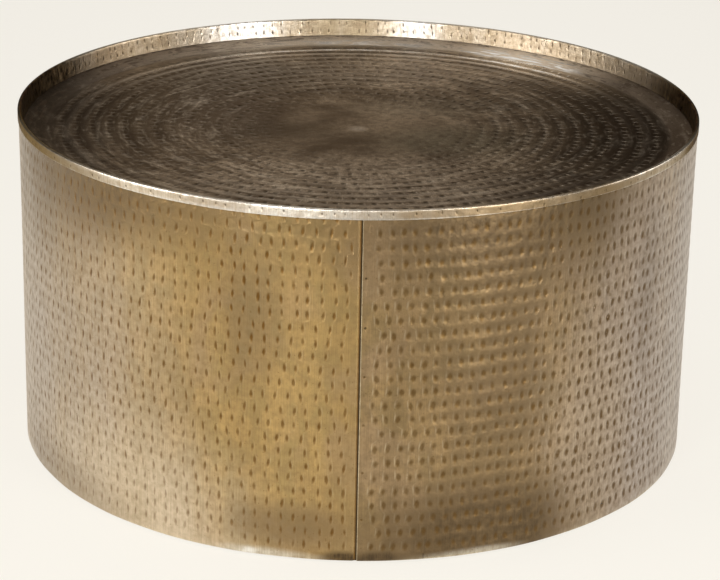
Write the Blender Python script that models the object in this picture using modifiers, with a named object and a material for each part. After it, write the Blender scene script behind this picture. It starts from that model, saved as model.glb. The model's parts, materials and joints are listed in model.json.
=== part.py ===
"""A round coffee table in hammered sheet metal.

Two half panels, lapped and riveted at the front and the back, make the drum. A rolled angle ring
stiffens it at each end. The tray top, a dished floor in a folded rim hoop, rests on the upper ring
and lifts straight off. Lengths are in metres, +Z is up, and the origin is on the ground, on the axis.
"""

import math

import bmesh
import bpy
from mathutils import Matrix

# Overall sizes
TABLE_DIAMETER = 0.800
TABLE_HEIGHT = 0.405
GROUND_GAP = 0.002

# Sheet thicknesses, and the clearance between pieces that touch
PANEL_SHEET = 0.0008
RIM_SHEET = 0.0008
FLOOR_SHEET = 0.0010
TOUCH = 0.0003

# Rim hoop: the outer skirt, the rounding of the fold, and the tray wall inside
SKIRT_HEIGHT = 0.0105
RIM_ROUND = 0.0014
TRAY_WALL_DEPTH = 0.0217
TRAY_WALL_LEAN = 0.0019

# Tray floor: the plain sloping border around the dish
BORDER_WIDTH = 0.0265
BORDER_RISE = 0.0055

# Lapped seam between the two panels
SEAM_GROOVE = 0.0008
JOGGLE_RUN = 0.005
TONGUE_REACH = 0.016

# Seam rivets, flush outside and headed inside
SEAM_RIVET_COUNT = 6
SEAM_RIVET_RADIUS = 0.0012
SEAM_RIVET_INSET = 0.0045
SEAM_RIVET_RECESS = 0.0001
SEAM_RIVET_HEAD_RADIUS = 0.0030
SEAM_RIVET_HEAD_HEIGHT = 0.0012
SEAM_RIVET_MARGIN = 0.025

# Rolled angle rings: the stout upper one carries the tray, the light lower one the glides
UPPER_ANGLE_THICKNESS = 0.005
UPPER_ANGLE_SHELF = 0.038
UPPER_ANGLE_UPRIGHT = 0.022
LOWER_ANGLE_THICKNESS = 0.003
LOWER_ANGLE_SHELF = 0.030
LOWER_ANGLE_UPRIGHT = 0.020
NOTCH_MARGIN = 0.002

# Cross bars under the tray, and their rivets
BAR_WIDTH = 0.030
BAR_THICKNESS = 0.005
BAR_END_GAP = 0.007
BAR_RIVET_RADIUS = 0.003
BAR_RIVET_RECESS = 0.0002
BAR_RIVET_HEAD_RADIUS = 0.0055
BAR_RIVET_HEAD_HEIGHT = 0.003

# Glides and their countersunk screws
GLIDE_COUNT = 6
GLIDE_RADIUS = 0.0125
GLIDE_HEIGHT = 0.006
GLIDE_CHAMFER = 0.0015
SCREW_RADIUS = 0.0025
SCREW_HEAD_RADIUS = 0.0045
SCREW_RECESS = 0.0012
SCREW_PROUD = 0.002

# Rivet heads taper to this share of their width
HEAD_TAPER = 0.7

# Fineness of the round shapes
FACETS_PER_QUARTER = 18
DRUM_FACETS = 4 * FACETS_PER_QUARTER
SMALL_FACETS = 12
ROUND_STEPS = 3
DISH_STEPS = 9
MERGE = 0.00001
CUT_PAD = 0.010

# Radii that follow from the sizes above, outside to inside
RIM_OUTER = TABLE_DIAMETER / 2
SKIRT_INNER = RIM_OUTER - RIM_SHEET
WALL_OUTER = SKIRT_INNER - TOUCH
WALL_INNER = WALL_OUTER - PANEL_SHEET
TONGUE_OUTER = WALL_INNER - TOUCH
TONGUE_INNER = TONGUE_OUTER - PANEL_SHEET
TRAY_WALL_OUTER = TONGUE_INNER - TOUCH
TRAY_WALL_INNER = TRAY_WALL_OUTER - RIM_SHEET
FOLD_ROUND = min(RIM_ROUND, (RIM_OUTER - TRAY_WALL_INNER) / 2)
TRAY_FOOT_INNER = TRAY_WALL_INNER - TRAY_WALL_LEAN
TRAY_FOOT_OUTER = TRAY_FOOT_INNER + RIM_SHEET
FOLD_RADIUS = TRAY_FOOT_OUTER - BORDER_WIDTH
RING_OUTER = WALL_INNER - TOUCH
UPPER_UPRIGHT_INNER = RING_OUTER - UPPER_ANGLE_THICKNESS
UPPER_SHELF_INNER = RING_OUTER - UPPER_ANGLE_SHELF
BAR_END = UPPER_UPRIGHT_INNER - BAR_END_GAP
LOWER_UPRIGHT_INNER = RING_OUTER - LOWER_ANGLE_THICKNESS
LOWER_SHELF_INNER = RING_OUTER - LOWER_ANGLE_SHELF

# Depths below the rim's top, in the tray's own frame
BORDER_DEPTH = TRAY_WALL_DEPTH + TOUCH
FOLD_DEPTH = BORDER_DEPTH + BORDER_RISE
DISH_DEPTH = UPPER_ANGLE_THICKNESS + TOUCH

# Heights above the ground
PANEL_TOP = TABLE_HEIGHT - RIM_SHEET - TOUCH
UPPER_SHELF_TOP = TABLE_HEIGHT - FOLD_DEPTH - FLOOR_SHEET - TOUCH
UPPER_SHELF_FOOT = UPPER_SHELF_TOP - UPPER_ANGLE_THICKNESS
UPPER_RING_FOOT = UPPER_SHELF_TOP - UPPER_ANGLE_UPRIGHT
BAR_TOP = UPPER_SHELF_FOOT - TOUCH
BAR_FOOT = BAR_TOP - BAR_THICKNESS
BAR_HEAD_FOOT = BAR_FOOT - TOUCH - BAR_RIVET_HEAD_HEIGHT
LOWER_SHELF_FOOT = GLIDE_HEIGHT + TOUCH
LOWER_SHELF_TOP = LOWER_SHELF_FOOT + LOWER_ANGLE_THICKNESS
LOWER_RING_TOP = LOWER_SHELF_FOOT + LOWER_ANGLE_UPRIGHT

# What a seam rivet grips: both sheets, and the clearance at each
SEAM_GRIP = 2 * (PANEL_SHEET + TOUCH)
SEAM_HEAD_FOOT = -SEAM_GRIP - SEAM_RIVET_HEAD_HEIGHT

# Where a countersunk screw's cone meets its shank
SCREW_CONE_TOP = SCREW_RECESS + SCREW_HEAD_RADIUS - SCREW_RADIUS

FACET_ANGLE = 2 * math.pi / DRUM_FACETS
FRONT = -math.pi / 2
HALF_TURN = math.pi

# Finishes: base colour, roughness, metallic
ANTIQUE_BRASS = ((0.36, 0.25, 0.12, 1.0), 0.38, 1.0)
DARK_BRASS = ((0.12, 0.085, 0.055, 1.0), 0.42, 1.0)
BLACK_STEEL = ((0.035, 0.033, 0.031, 1.0), 0.55, 0.6)
BRASS_RIVET = ((0.22, 0.15, 0.075, 1.0), 0.45, 1.0)
BLACK_NYLON = ((0.02, 0.02, 0.02, 1.0), 0.6, 0.0)
ZINC_STEEL = ((0.45, 0.45, 0.44, 1.0), 0.35, 1.0)


def clear_scene():
    """Empties the scene of objects."""
    for obj in list(bpy.data.objects):
        bpy.data.objects.remove(obj, do_unlink=True)


def new_collection(name):
    """A collection linked into the scene."""
    group = bpy.data.collections.new(name)
    bpy.context.scene.collection.children.link(group)
    return group


def dress(obj, finish):
    """Gives a piece its own material."""
    colour, roughness, metallic = finish
    material = bpy.data.materials.new(obj.name + "_finish")
    material.use_nodes = True
    shader = material.node_tree.nodes["Principled BSDF"]
    shader.inputs["Base Color"].default_value = colour
    shader.inputs["Roughness"].default_value = roughness
    shader.inputs["Metallic"].default_value = metallic
    material.diffuse_color = colour
    obj.data.materials.append(material)


def new_piece(name, mesh, group, finish, parent):
    """A named piece in its collection, dressed and parented."""
    obj = bpy.data.objects.new(name, mesh)
    group.objects.link(obj)
    obj.parent = parent
    dress(obj, finish)
    return obj


def new_frame(name, height, group):
    """An empty on the table's axis that carries a group of pieces."""
    empty = bpy.data.objects.new(name, None)
    empty.location = (0, 0, height)
    group.objects.link(empty)
    return empty


def line_mesh(name, points, closed):
    """A mesh of edges through the points, in order."""
    count = len(points)
    edges = [(i, i + 1) for i in range(count - 1)]
    if closed:
        edges.append((count - 1, 0))
    mesh = bpy.data.meshes.new(name)
    mesh.from_pydata(points, edges, [])
    return mesh


def turned(name, profile, facets, closed, group, finish, parent):
    """A piece turned about Z from (radius, height) points that run down its outer side."""
    points = [(radius, 0.0, height) for radius, height in profile]
    obj = new_piece(name, line_mesh(name, points, closed), group, finish, parent)
    spin = obj.modifiers.new("Turn", "SCREW")
    spin.axis = "Z"
    spin.angle = 2 * math.pi
    spin.steps = facets
    spin.render_steps = facets
    spin.use_smooth_shade = True
    spin.use_merge_vertices = True
    spin.merge_threshold = MERGE
    return obj


def add_block(bm, low, high, turn=0.0):
    """Adds a box between two corners, turned about Z."""
    middle = Matrix.Translation([(a + b) / 2 for a, b in zip(low, high)])
    size = Matrix.Diagonal([b - a for a, b in zip(low, high)] + [1.0])
    bmesh.ops.create_cube(bm, size=1.0, matrix=Matrix.Rotation(turn, 4, "Z") @ middle @ size)


def add_rod(bm, place, radius, length):
    """Adds a round rod centred on a place, along its Z axis."""
    bmesh.ops.create_cone(bm, cap_ends=True, segments=SMALL_FACETS, radius1=radius, radius2=radius,
                          depth=length, matrix=place)


def solid_from(bm, name):
    """A mesh from the shapes gathered in a bmesh, with its faces pointing out."""
    bmesh.ops.recalc_face_normals(bm, faces=bm.faces)
    mesh = bpy.data.meshes.new(name)
    bm.to_mesh(mesh)
    bm.free()
    return mesh


def cut(obj, bm, cutters):
    """Cuts the shapes gathered in a bmesh out of a piece."""
    name = obj.name + "_cutter"
    tool = bpy.data.objects.new(name, solid_from(bm, name))
    tool.hide_render = True
    tool.display_type = "WIRE"
    cutters.objects.link(tool)
    step = obj.modifiers.new("Cut", "BOOLEAN")
    step.operation = "DIFFERENCE"
    step.solver = "EXACT"
    step.object = tool


def facet_point(radius, angle):
    """The point at an angle on the drum's many-sided outline of the given corner radius."""
    past_corner = angle % FACET_ANGLE
    reach = radius * math.cos(FACET_ANGLE / 2) / math.cos(past_corner - FACET_ANGLE / 2)
    return reach * math.cos(angle), reach * math.sin(angle)


def arc_angle(length):
    """The angle that a length along the drum's wall covers."""
    return length / WALL_OUTER


def seam_rivet_heights():
    """Even heights for a seam's rivets, clear of both rings."""
    low = LOWER_RING_TOP + SEAM_RIVET_MARGIN
    high = UPPER_RING_FOOT - SEAM_RIVET_MARGIN
    pitch = (high - low) / (SEAM_RIVET_COUNT - 1)
    return [low + i * pitch for i in range(SEAM_RIVET_COUNT)]


def seam_rivet_place(turn, height):
    """A seam rivet's frame: on the wall's outer face, with Z pointing out of the drum."""
    x, y = facet_point(WALL_OUTER, FRONT + turn + arc_angle(SEAM_RIVET_INSET))
    outward = Matrix.Rotation(FRONT + turn + FACET_ANGLE / 2, 4, "Z") @ Matrix.Rotation(math.pi / 2, 4, "Y")
    return Matrix.Translation((x, y, height)) @ outward


def panel_plan():
    """The right panel's outer line seen from above, from its plain front edge to its back tongue."""
    back = FRONT + HALF_TURN
    facets = 2 * FACETS_PER_QUARTER
    joggle_start = back - arc_angle(SEAM_GROOVE + JOGGLE_RUN)
    joggle_end = back - arc_angle(SEAM_GROOVE)
    tongue_end = back + arc_angle(TONGUE_REACH)
    plan = [facet_point(WALL_OUTER, FRONT + i * FACET_ANGLE) for i in range(facets)]
    plan.append(facet_point(WALL_OUTER, joggle_start))
    plan.append(facet_point(TONGUE_OUTER, joggle_end))
    plan.append(facet_point(TONGUE_OUTER, back))
    plan.append(facet_point(TONGUE_OUTER, tongue_end))
    return plan


def drum_panel(name, turn, group, cutters, parent):
    """Half of the drum: the plan line drawn up to the panel's height, thickened inwards."""
    points = [(x, y, GROUND_GAP) for x, y in panel_plan()]
    panel = new_piece(name, line_mesh(name, points, False), group, ANTIQUE_BRASS, parent)
    panel.rotation_euler = (0, 0, turn)
    rise = panel.modifiers.new("Rise", "SCREW")
    rise.axis = "Z"
    rise.angle = 0.0
    rise.screw_offset = PANEL_TOP - GROUND_GAP
    rise.steps = 1
    rise.render_steps = 1
    rise.use_merge_vertices = False
    sheet = panel.modifiers.new("Sheet", "SOLIDIFY")
    sheet.thickness = PANEL_SHEET
    sheet.offset = -1.0
    sheet.use_even_offset = True
    holes = bmesh.new()
    for seam_turn in (0.0, HALF_TURN):
        for height in seam_rivet_heights():
            place = seam_rivet_place(seam_turn, height)
            add_rod(holes, place, SEAM_RIVET_RADIUS + TOUCH, 2 * (SEAM_GRIP + CUT_PAD))
    cut(panel, holes, cutters)
    return panel


def seam_rivet(name, turn, height, group, parent):
    """A small rivet through both sheets of a seam."""
    profile = [
        (0.0, -SEAM_RIVET_RECESS),
        (SEAM_RIVET_RADIUS, -SEAM_RIVET_RECESS),
        (SEAM_RIVET_RADIUS, -SEAM_GRIP),
        (SEAM_RIVET_HEAD_RADIUS, -SEAM_GRIP),
        (SEAM_RIVET_HEAD_RADIUS * HEAD_TAPER, SEAM_HEAD_FOOT),
        (0.0, SEAM_HEAD_FOOT),
    ]
    rivet = turned(name, profile, SMALL_FACETS, False, group, BRASS_RIVET, parent)
    place = seam_rivet_place(turn, height)
    rivet.location = place.to_translation()
    rivet.rotation_euler = place.to_euler()
    return rivet


def add_seam_notches(bm, low, high):
    """Adds the two flats that clear the panels' tongues at the front and back seams."""
    left = SEAM_GROOVE + JOGGLE_RUN + NOTCH_MARGIN
    right = TONGUE_REACH + NOTCH_MARGIN
    face = facet_point(TONGUE_INNER - TOUCH, FRONT + arc_angle(right))[1]
    for turn in (0.0, HALF_TURN):
        add_block(bm, (-left, -RIM_OUTER, low - CUT_PAD), (right, face, high + CUT_PAD), turn)


def bar_rivet_spots():
    """Where the cross bars' ends are riveted to the upper ring, as (x, y)."""
    radius = (UPPER_SHELF_INNER + BAR_END) / 2
    return [(radius * math.cos(i * math.pi / 2), radius * math.sin(i * math.pi / 2)) for i in range(4)]


def glide_spots():
    """Where the glides sit under the lower ring's shelf, as (x, y)."""
    radius = (LOWER_SHELF_INNER + LOWER_UPRIGHT_INNER) / 2
    angles = [(i + 0.5) * 2 * math.pi / GLIDE_COUNT for i in range(GLIDE_COUNT)]
    return [(radius * math.cos(angle), radius * math.sin(angle)) for angle in angles]


def upper_ring(group, cutters, parent):
    """Rolled angle ring with its shelf on top, under the tray's border."""
    profile = [
        (UPPER_SHELF_INNER, UPPER_SHELF_TOP),
        (RING_OUTER, UPPER_SHELF_TOP),
        (RING_OUTER, UPPER_RING_FOOT),
        (UPPER_UPRIGHT_INNER, UPPER_RING_FOOT),
        (UPPER_UPRIGHT_INNER, UPPER_SHELF_FOOT),
        (UPPER_SHELF_INNER, UPPER_SHELF_FOOT),
    ]
    ring = turned("upper_ring", profile, DRUM_FACETS, True, group, BLACK_STEEL, parent)
    tools = bmesh.new()
    add_seam_notches(tools, UPPER_RING_FOOT, UPPER_SHELF_TOP)
    for x, y in bar_rivet_spots():
        place = Matrix.Translation((x, y, UPPER_SHELF_FOOT))
        add_rod(tools, place, BAR_RIVET_RADIUS + TOUCH, 2 * (UPPER_ANGLE_THICKNESS + CUT_PAD))
    cut(ring, tools, cutters)


def lower_ring(group, cutters, parent):
    """Rolled angle ring with its shelf at the bottom, over the glides."""
    profile = [
        (LOWER_UPRIGHT_INNER, LOWER_RING_TOP),
        (RING_OUTER, LOWER_RING_TOP),
        (RING_OUTER, LOWER_SHELF_FOOT),
        (LOWER_SHELF_INNER, LOWER_SHELF_FOOT),
        (LOWER_SHELF_INNER, LOWER_SHELF_TOP),
        (LOWER_UPRIGHT_INNER, LOWER_SHELF_TOP),
    ]
    ring = turned("lower_ring", profile, DRUM_FACETS, True, group, BLACK_STEEL, parent)
    tools = bmesh.new()
    add_seam_notches(tools, LOWER_SHELF_FOOT, LOWER_RING_TOP)
    for x, y in glide_spots():
        place = Matrix.Translation((x, y, LOWER_SHELF_TOP))
        add_rod(tools, place, SCREW_RADIUS + TOUCH, 2 * (LOWER_ANGLE_THICKNESS + CUT_PAD))
    cut(ring, tools, cutters)


def cross_bar(name, turn, slot_on_top, group, cutters, parent):
    """A flat bar under the tray, halved at the middle into the other bar."""
    half_width = BAR_WIDTH / 2
    blank = bmesh.new()
    add_block(blank, (-BAR_END, -half_width, BAR_FOOT), (BAR_END, half_width, BAR_TOP))
    bar = new_piece(name, solid_from(blank, name), group, BLACK_STEEL, parent)
    bar.rotation_euler = (0, 0, turn)
    middle = (BAR_TOP + BAR_FOOT) / 2
    slot = half_width + TOUCH
    low, high = BAR_FOOT - CUT_PAD, middle + TOUCH / 2
    if slot_on_top:
        low, high = middle - TOUCH / 2, BAR_TOP + CUT_PAD
    halving = bmesh.new()
    add_block(halving, (-slot, -slot, low), (slot, slot, high), turn)
    cut(bar, halving, cutters)
    holes = bmesh.new()
    for x, y in bar_rivet_spots() + [(0.0, 0.0)]:
        add_rod(holes, Matrix.Translation((x, y, middle)), BAR_RIVET_RADIUS + TOUCH, BAR_THICKNESS + CUT_PAD)
    cut(bar, holes, cutters)


def bar_rivet(name, spot, top, group, parent):
    """A rivet down through a cross bar, flush on top and headed below."""
    profile = [
        (0.0, top - BAR_RIVET_RECESS),
        (BAR_RIVET_RADIUS, top - BAR_RIVET_RECESS),
        (BAR_RIVET_RADIUS, BAR_FOOT - TOUCH),
        (BAR_RIVET_HEAD_RADIUS, BAR_FOOT - TOUCH),
        (BAR_RIVET_HEAD_RADIUS * HEAD_TAPER, BAR_HEAD_FOOT),
        (0.0, BAR_HEAD_FOOT),
    ]
    rivet = turned(name, profile, SMALL_FACETS, False, group, BLACK_STEEL, parent)
    rivet.location = (spot[0], spot[1], 0)


def glide(name, spot, group, parent):
    """A nylon glide with a countersunk hole."""
    hole = SCREW_RADIUS + TOUCH
    mouth = SCREW_HEAD_RADIUS + TOUCH
    profile = [
        (hole, GLIDE_HEIGHT),
        (GLIDE_RADIUS, GLIDE_HEIGHT),
        (GLIDE_RADIUS, GLIDE_CHAMFER),
        (GLIDE_RADIUS - GLIDE_CHAMFER, 0.0),
        (mouth, 0.0),
        (mouth, SCREW_RECESS),
        (hole, SCREW_CONE_TOP),
    ]
    foot = turned(name, profile, 2 * SMALL_FACETS, True, group, BLACK_NYLON, parent)
    foot.location = (spot[0], spot[1], 0)


def glide_screw(name, spot, group, parent):
    """The countersunk screw that holds a glide to the lower ring."""
    tip = LOWER_SHELF_TOP + SCREW_PROUD
    profile = [
        (0.0, tip),
        (SCREW_RADIUS, tip),
        (SCREW_RADIUS, SCREW_CONE_TOP),
        (SCREW_HEAD_RADIUS, SCREW_RECESS),
        (0.0, SCREW_RECESS),
    ]
    screw = turned(name, profile, SMALL_FACETS, False, group, ZINC_STEEL, parent)
    screw.location = (spot[0], spot[1], 0)


def rim_hoop(group, parent):
    """Tray wall folded over the drum's top edge into the outer skirt, below the rim's top at zero."""
    turn_step = math.pi / 2 / ROUND_STEPS
    inner_round = []
    outer_round = []
    for i in range(ROUND_STEPS + 1):
        across = FOLD_ROUND * (1 - math.cos(i * turn_step))
        drop = FOLD_ROUND * (1 - math.sin(i * turn_step))
        inner_round.append((TRAY_WALL_INNER + across, -drop))
        outer_round.insert(0, (RIM_OUTER - across, -drop))
    profile = inner_round + outer_round + [
        (RIM_OUTER, -SKIRT_HEIGHT),
        (SKIRT_INNER, -SKIRT_HEIGHT),
        (SKIRT_INNER, -RIM_SHEET),
        (TRAY_WALL_OUTER, -RIM_SHEET),
        (TRAY_FOOT_OUTER, -TRAY_WALL_DEPTH),
        (TRAY_FOOT_INNER, -TRAY_WALL_DEPTH),
    ]
    turned("rim_hoop", profile, DRUM_FACETS, True, group, ANTIQUE_BRASS, parent)


def dish_height(share):
    """Height of the dished floor's top at a share of the way from its centre to its fold."""
    return -FOLD_DEPTH - DISH_DEPTH * (1 + math.cos(math.pi * share)) / 2


def tray_floor(group, parent):
    """Dished floor that beds on the cross bars, with a border that slopes up to the tray wall."""
    shares = [i / DISH_STEPS for i in range(DISH_STEPS + 1)]
    top = [(FOLD_RADIUS * share, dish_height(share)) for share in shares]
    top.append((TRAY_FOOT_OUTER, -BORDER_DEPTH))
    underside = [(radius, height - FLOOR_SHEET) for radius, height in reversed(top)]
    turned("tray_floor", top + underside, DRUM_FACETS, False, group, DARK_BRASS, parent)


def main():
    """Builds the drum and the tray top."""
    clear_scene()
    group = new_collection("drum_coffee_table")
    cutters = new_collection("cutters")
    drum = new_frame("drum", 0.0, group)
    tray = new_frame("tray_top", TABLE_HEIGHT, group)

    drum_panel("right_drum_panel", 0.0, group, cutters, drum)
    drum_panel("left_drum_panel", HALF_TURN, group, cutters, drum)
    for side, turn in (("front", 0.0), ("back", HALF_TURN)):
        for number, height in enumerate(seam_rivet_heights(), 1):
            seam_rivet(f"{side}_seam_rivet_{number}", turn, height, group, drum)

    upper_ring(group, cutters, drum)
    lower_ring(group, cutters, drum)
    cross_bar("cross_bar_side_to_side", 0.0, True, group, cutters, drum)
    cross_bar("cross_bar_front_to_back", math.pi / 2, False, group, cutters, drum)
    for number, spot in enumerate(bar_rivet_spots(), 1):
        bar_rivet(f"bar_rivet_{number}", spot, UPPER_SHELF_TOP, group, drum)
    bar_rivet("centre_rivet", (0.0, 0.0), BAR_TOP, group, drum)
    for number, spot in enumerate(glide_spots(), 1):
        glide(f"glide_{number}", spot, group, drum)
        glide_screw(f"glide_screw_{number}", spot, group, drum)

    rim_hoop(group, tray)
    tray_floor(group, tray)


main()
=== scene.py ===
"""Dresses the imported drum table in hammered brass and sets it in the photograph's studio."""

import json
import logging
import math
from dataclasses import dataclass, field
from enum import Enum
from typing import Any, Optional, Sequence, Union

import bmesh
import bpy
import numpy as np
from mathutils import Matrix, Vector


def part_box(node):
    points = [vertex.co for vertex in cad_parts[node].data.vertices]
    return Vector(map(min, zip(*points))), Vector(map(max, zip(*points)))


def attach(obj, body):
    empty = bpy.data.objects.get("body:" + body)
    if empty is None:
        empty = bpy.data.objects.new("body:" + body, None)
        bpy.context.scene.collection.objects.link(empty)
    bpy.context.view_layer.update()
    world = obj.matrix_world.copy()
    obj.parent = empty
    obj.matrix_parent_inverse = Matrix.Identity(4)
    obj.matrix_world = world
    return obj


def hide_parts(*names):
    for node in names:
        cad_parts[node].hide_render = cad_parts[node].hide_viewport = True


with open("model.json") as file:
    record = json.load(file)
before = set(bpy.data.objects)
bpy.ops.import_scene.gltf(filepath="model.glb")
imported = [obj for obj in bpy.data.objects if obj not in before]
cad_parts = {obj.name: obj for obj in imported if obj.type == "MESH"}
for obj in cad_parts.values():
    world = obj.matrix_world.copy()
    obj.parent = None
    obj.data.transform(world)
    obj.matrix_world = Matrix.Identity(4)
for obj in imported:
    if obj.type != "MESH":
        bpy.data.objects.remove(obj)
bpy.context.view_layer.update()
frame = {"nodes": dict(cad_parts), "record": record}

LOG = logging.getLogger("drum_table")

MARK_LAYER = "hammer_mark"
# The mesh layer below holds how pale the sheet is painted: partly worn metal, partly painted highlights and
# reflections.
WEAR_AND_HIGHLIGHT_LAYER = "wear_and_painted_highlight"
FULL_TURN = 2 * math.pi
SHARP_EDGE = math.radians(50)

# Columns and lines of points over a hammer mark, in shares of its half size.
MARK_COLUMNS = np.array([-1.5, -1.2, -0.65, 0.0, 0.65, 1.2, 1.5])
MARK_LINES = np.array([-1.2, -0.65, 0.0, 0.65, 1.2])

# Where a mark's bowl runs out, in the same shares, and how round it is.
BOWL_EDGE = 1.2
BOWL_CURVE = 1.5

# Where the lip beside a mark is highest, in half heights above its middle, and its height in mark depths.
LIP_RISE = 0.35
LIP_HEIGHT = 0.16

# How far one row's marks differ: its start, in pitches, and their sizes, forces, leans and levels.
ROW_STARTS = (0.15, 0.85)
MARK_WIDTHS = (0.82, 1.18)
MARK_HEIGHTS = (0.85, 1.12)
MARK_FORCES = (0.75, 1.15)
MARK_LEANS = (-0.12, 0.12)
MARK_LEVELS = (-0.7, 0.7)

# A span holds where a change begins and where it ends.
Span = tuple[float, float]
Colour = tuple[float, float, float]
Place = tuple[float, float, float]
Value = Union["Wire", float, int]
Tint = Union["Wire", Colour]

# Dark brown for grime in the marks and seams, and for the painted shade on the skirt's inner edge.
GRIME_AND_SHADE_BROWN: Colour = (0.050, 0.030, 0.010)
# Dark brown that darkens the wall's foot beside each seam.
SEAM_FOOT_DARK: Colour = (0.05, 0.030, 0.012)
# Pale gold for worn edges and painted highlights on the wall.
WORN_AND_HIGHLIT_GOLD: Colour = (0.78, 0.66, 0.45)
# Browns that paint shade into the wall's and the hoop's brass.
SHADE: Colour = (0.14, 0.095, 0.048)
RIM_SHADE: Colour = (0.020, 0.014, 0.008)
LAMP_TONE: Colour = (1.0, 0.98, 0.95)
NARROW_BEAM = math.radians(60)
RIVETS_PER_SEAM = 6


class Body(Enum):
    """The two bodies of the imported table."""

    DRUM = "drum"
    TRAY = "tray"


class Slot(Enum):
    """The record's material slots."""

    HAMMERED_BRASS = "hammered_brass"
    TRAY_BRASS = "tray_brass"
    SEAM_RIVET = "seam_rivet"
    FRAME_STEEL = "frame_steel"
    GLIDE_NYLON = "glide_nylon"
    SCREW_STEEL = "screw_steel"


class Seam(Enum):
    """The two riveted seams of the drum."""

    FRONT = "front"
    BACK = "back"

    def rivets(self) -> list[str]:
        """Names the seam's rivets."""
        return [f"{self.value}_seam_rivet_{number}" for number in range(1, RIVETS_PER_SEAM + 1)]


class Wire:
    """A shader socket that takes part in Python arithmetic."""

    def __init__(self, bench: "Bench", socket: bpy.types.NodeSocket) -> None:
        """Keeps the socket and the bench that its nodes stand on."""
        self.bench = bench
        self.socket = socket

    def _sum(self, operation: str, first: Value, second: Value) -> "Wire":
        """Adds one Math node."""
        return self.bench.node("ShaderNodeMath", {"operation": operation}, {0: first, 1: second})

    def __add__(self, other: Value) -> "Wire":
        """Adds a value."""
        return self._sum("ADD", self, other)

    def __radd__(self, other: Value) -> "Wire":
        """Is added to a value."""
        return self._sum("ADD", other, self)

    def __sub__(self, other: Value) -> "Wire":
        """Takes a value away."""
        return self._sum("SUBTRACT", self, other)

    def __rsub__(self, other: Value) -> "Wire":
        """Is taken away from a value."""
        return self._sum("SUBTRACT", other, self)

    def __mul__(self, other: Value) -> "Wire":
        """Multiplies by a value."""
        return self._sum("MULTIPLY", self, other)

    def __rmul__(self, other: Value) -> "Wire":
        """Multiplies a value."""
        return self._sum("MULTIPLY", other, self)

    def size(self) -> "Wire":
        """Gives the value without its sign."""
        return self._sum("ABSOLUTE", self, 0.0)

    def rise(self, low: float, high: float) -> "Wire":
        """Turns the value into a smooth step.

        Args:
            low: Value that gives 0.
            high: Value that gives 1.

        Returns:
            The step, from 0 to 1.
        """
        return self.bench.node(
            "ShaderNodeMapRange",
            {"interpolation_type": "SMOOTHSTEP"},
            {"Value": self, "From Min": low, "From Max": high, "To Min": 0.0, "To Max": 1.0},
        )


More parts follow.
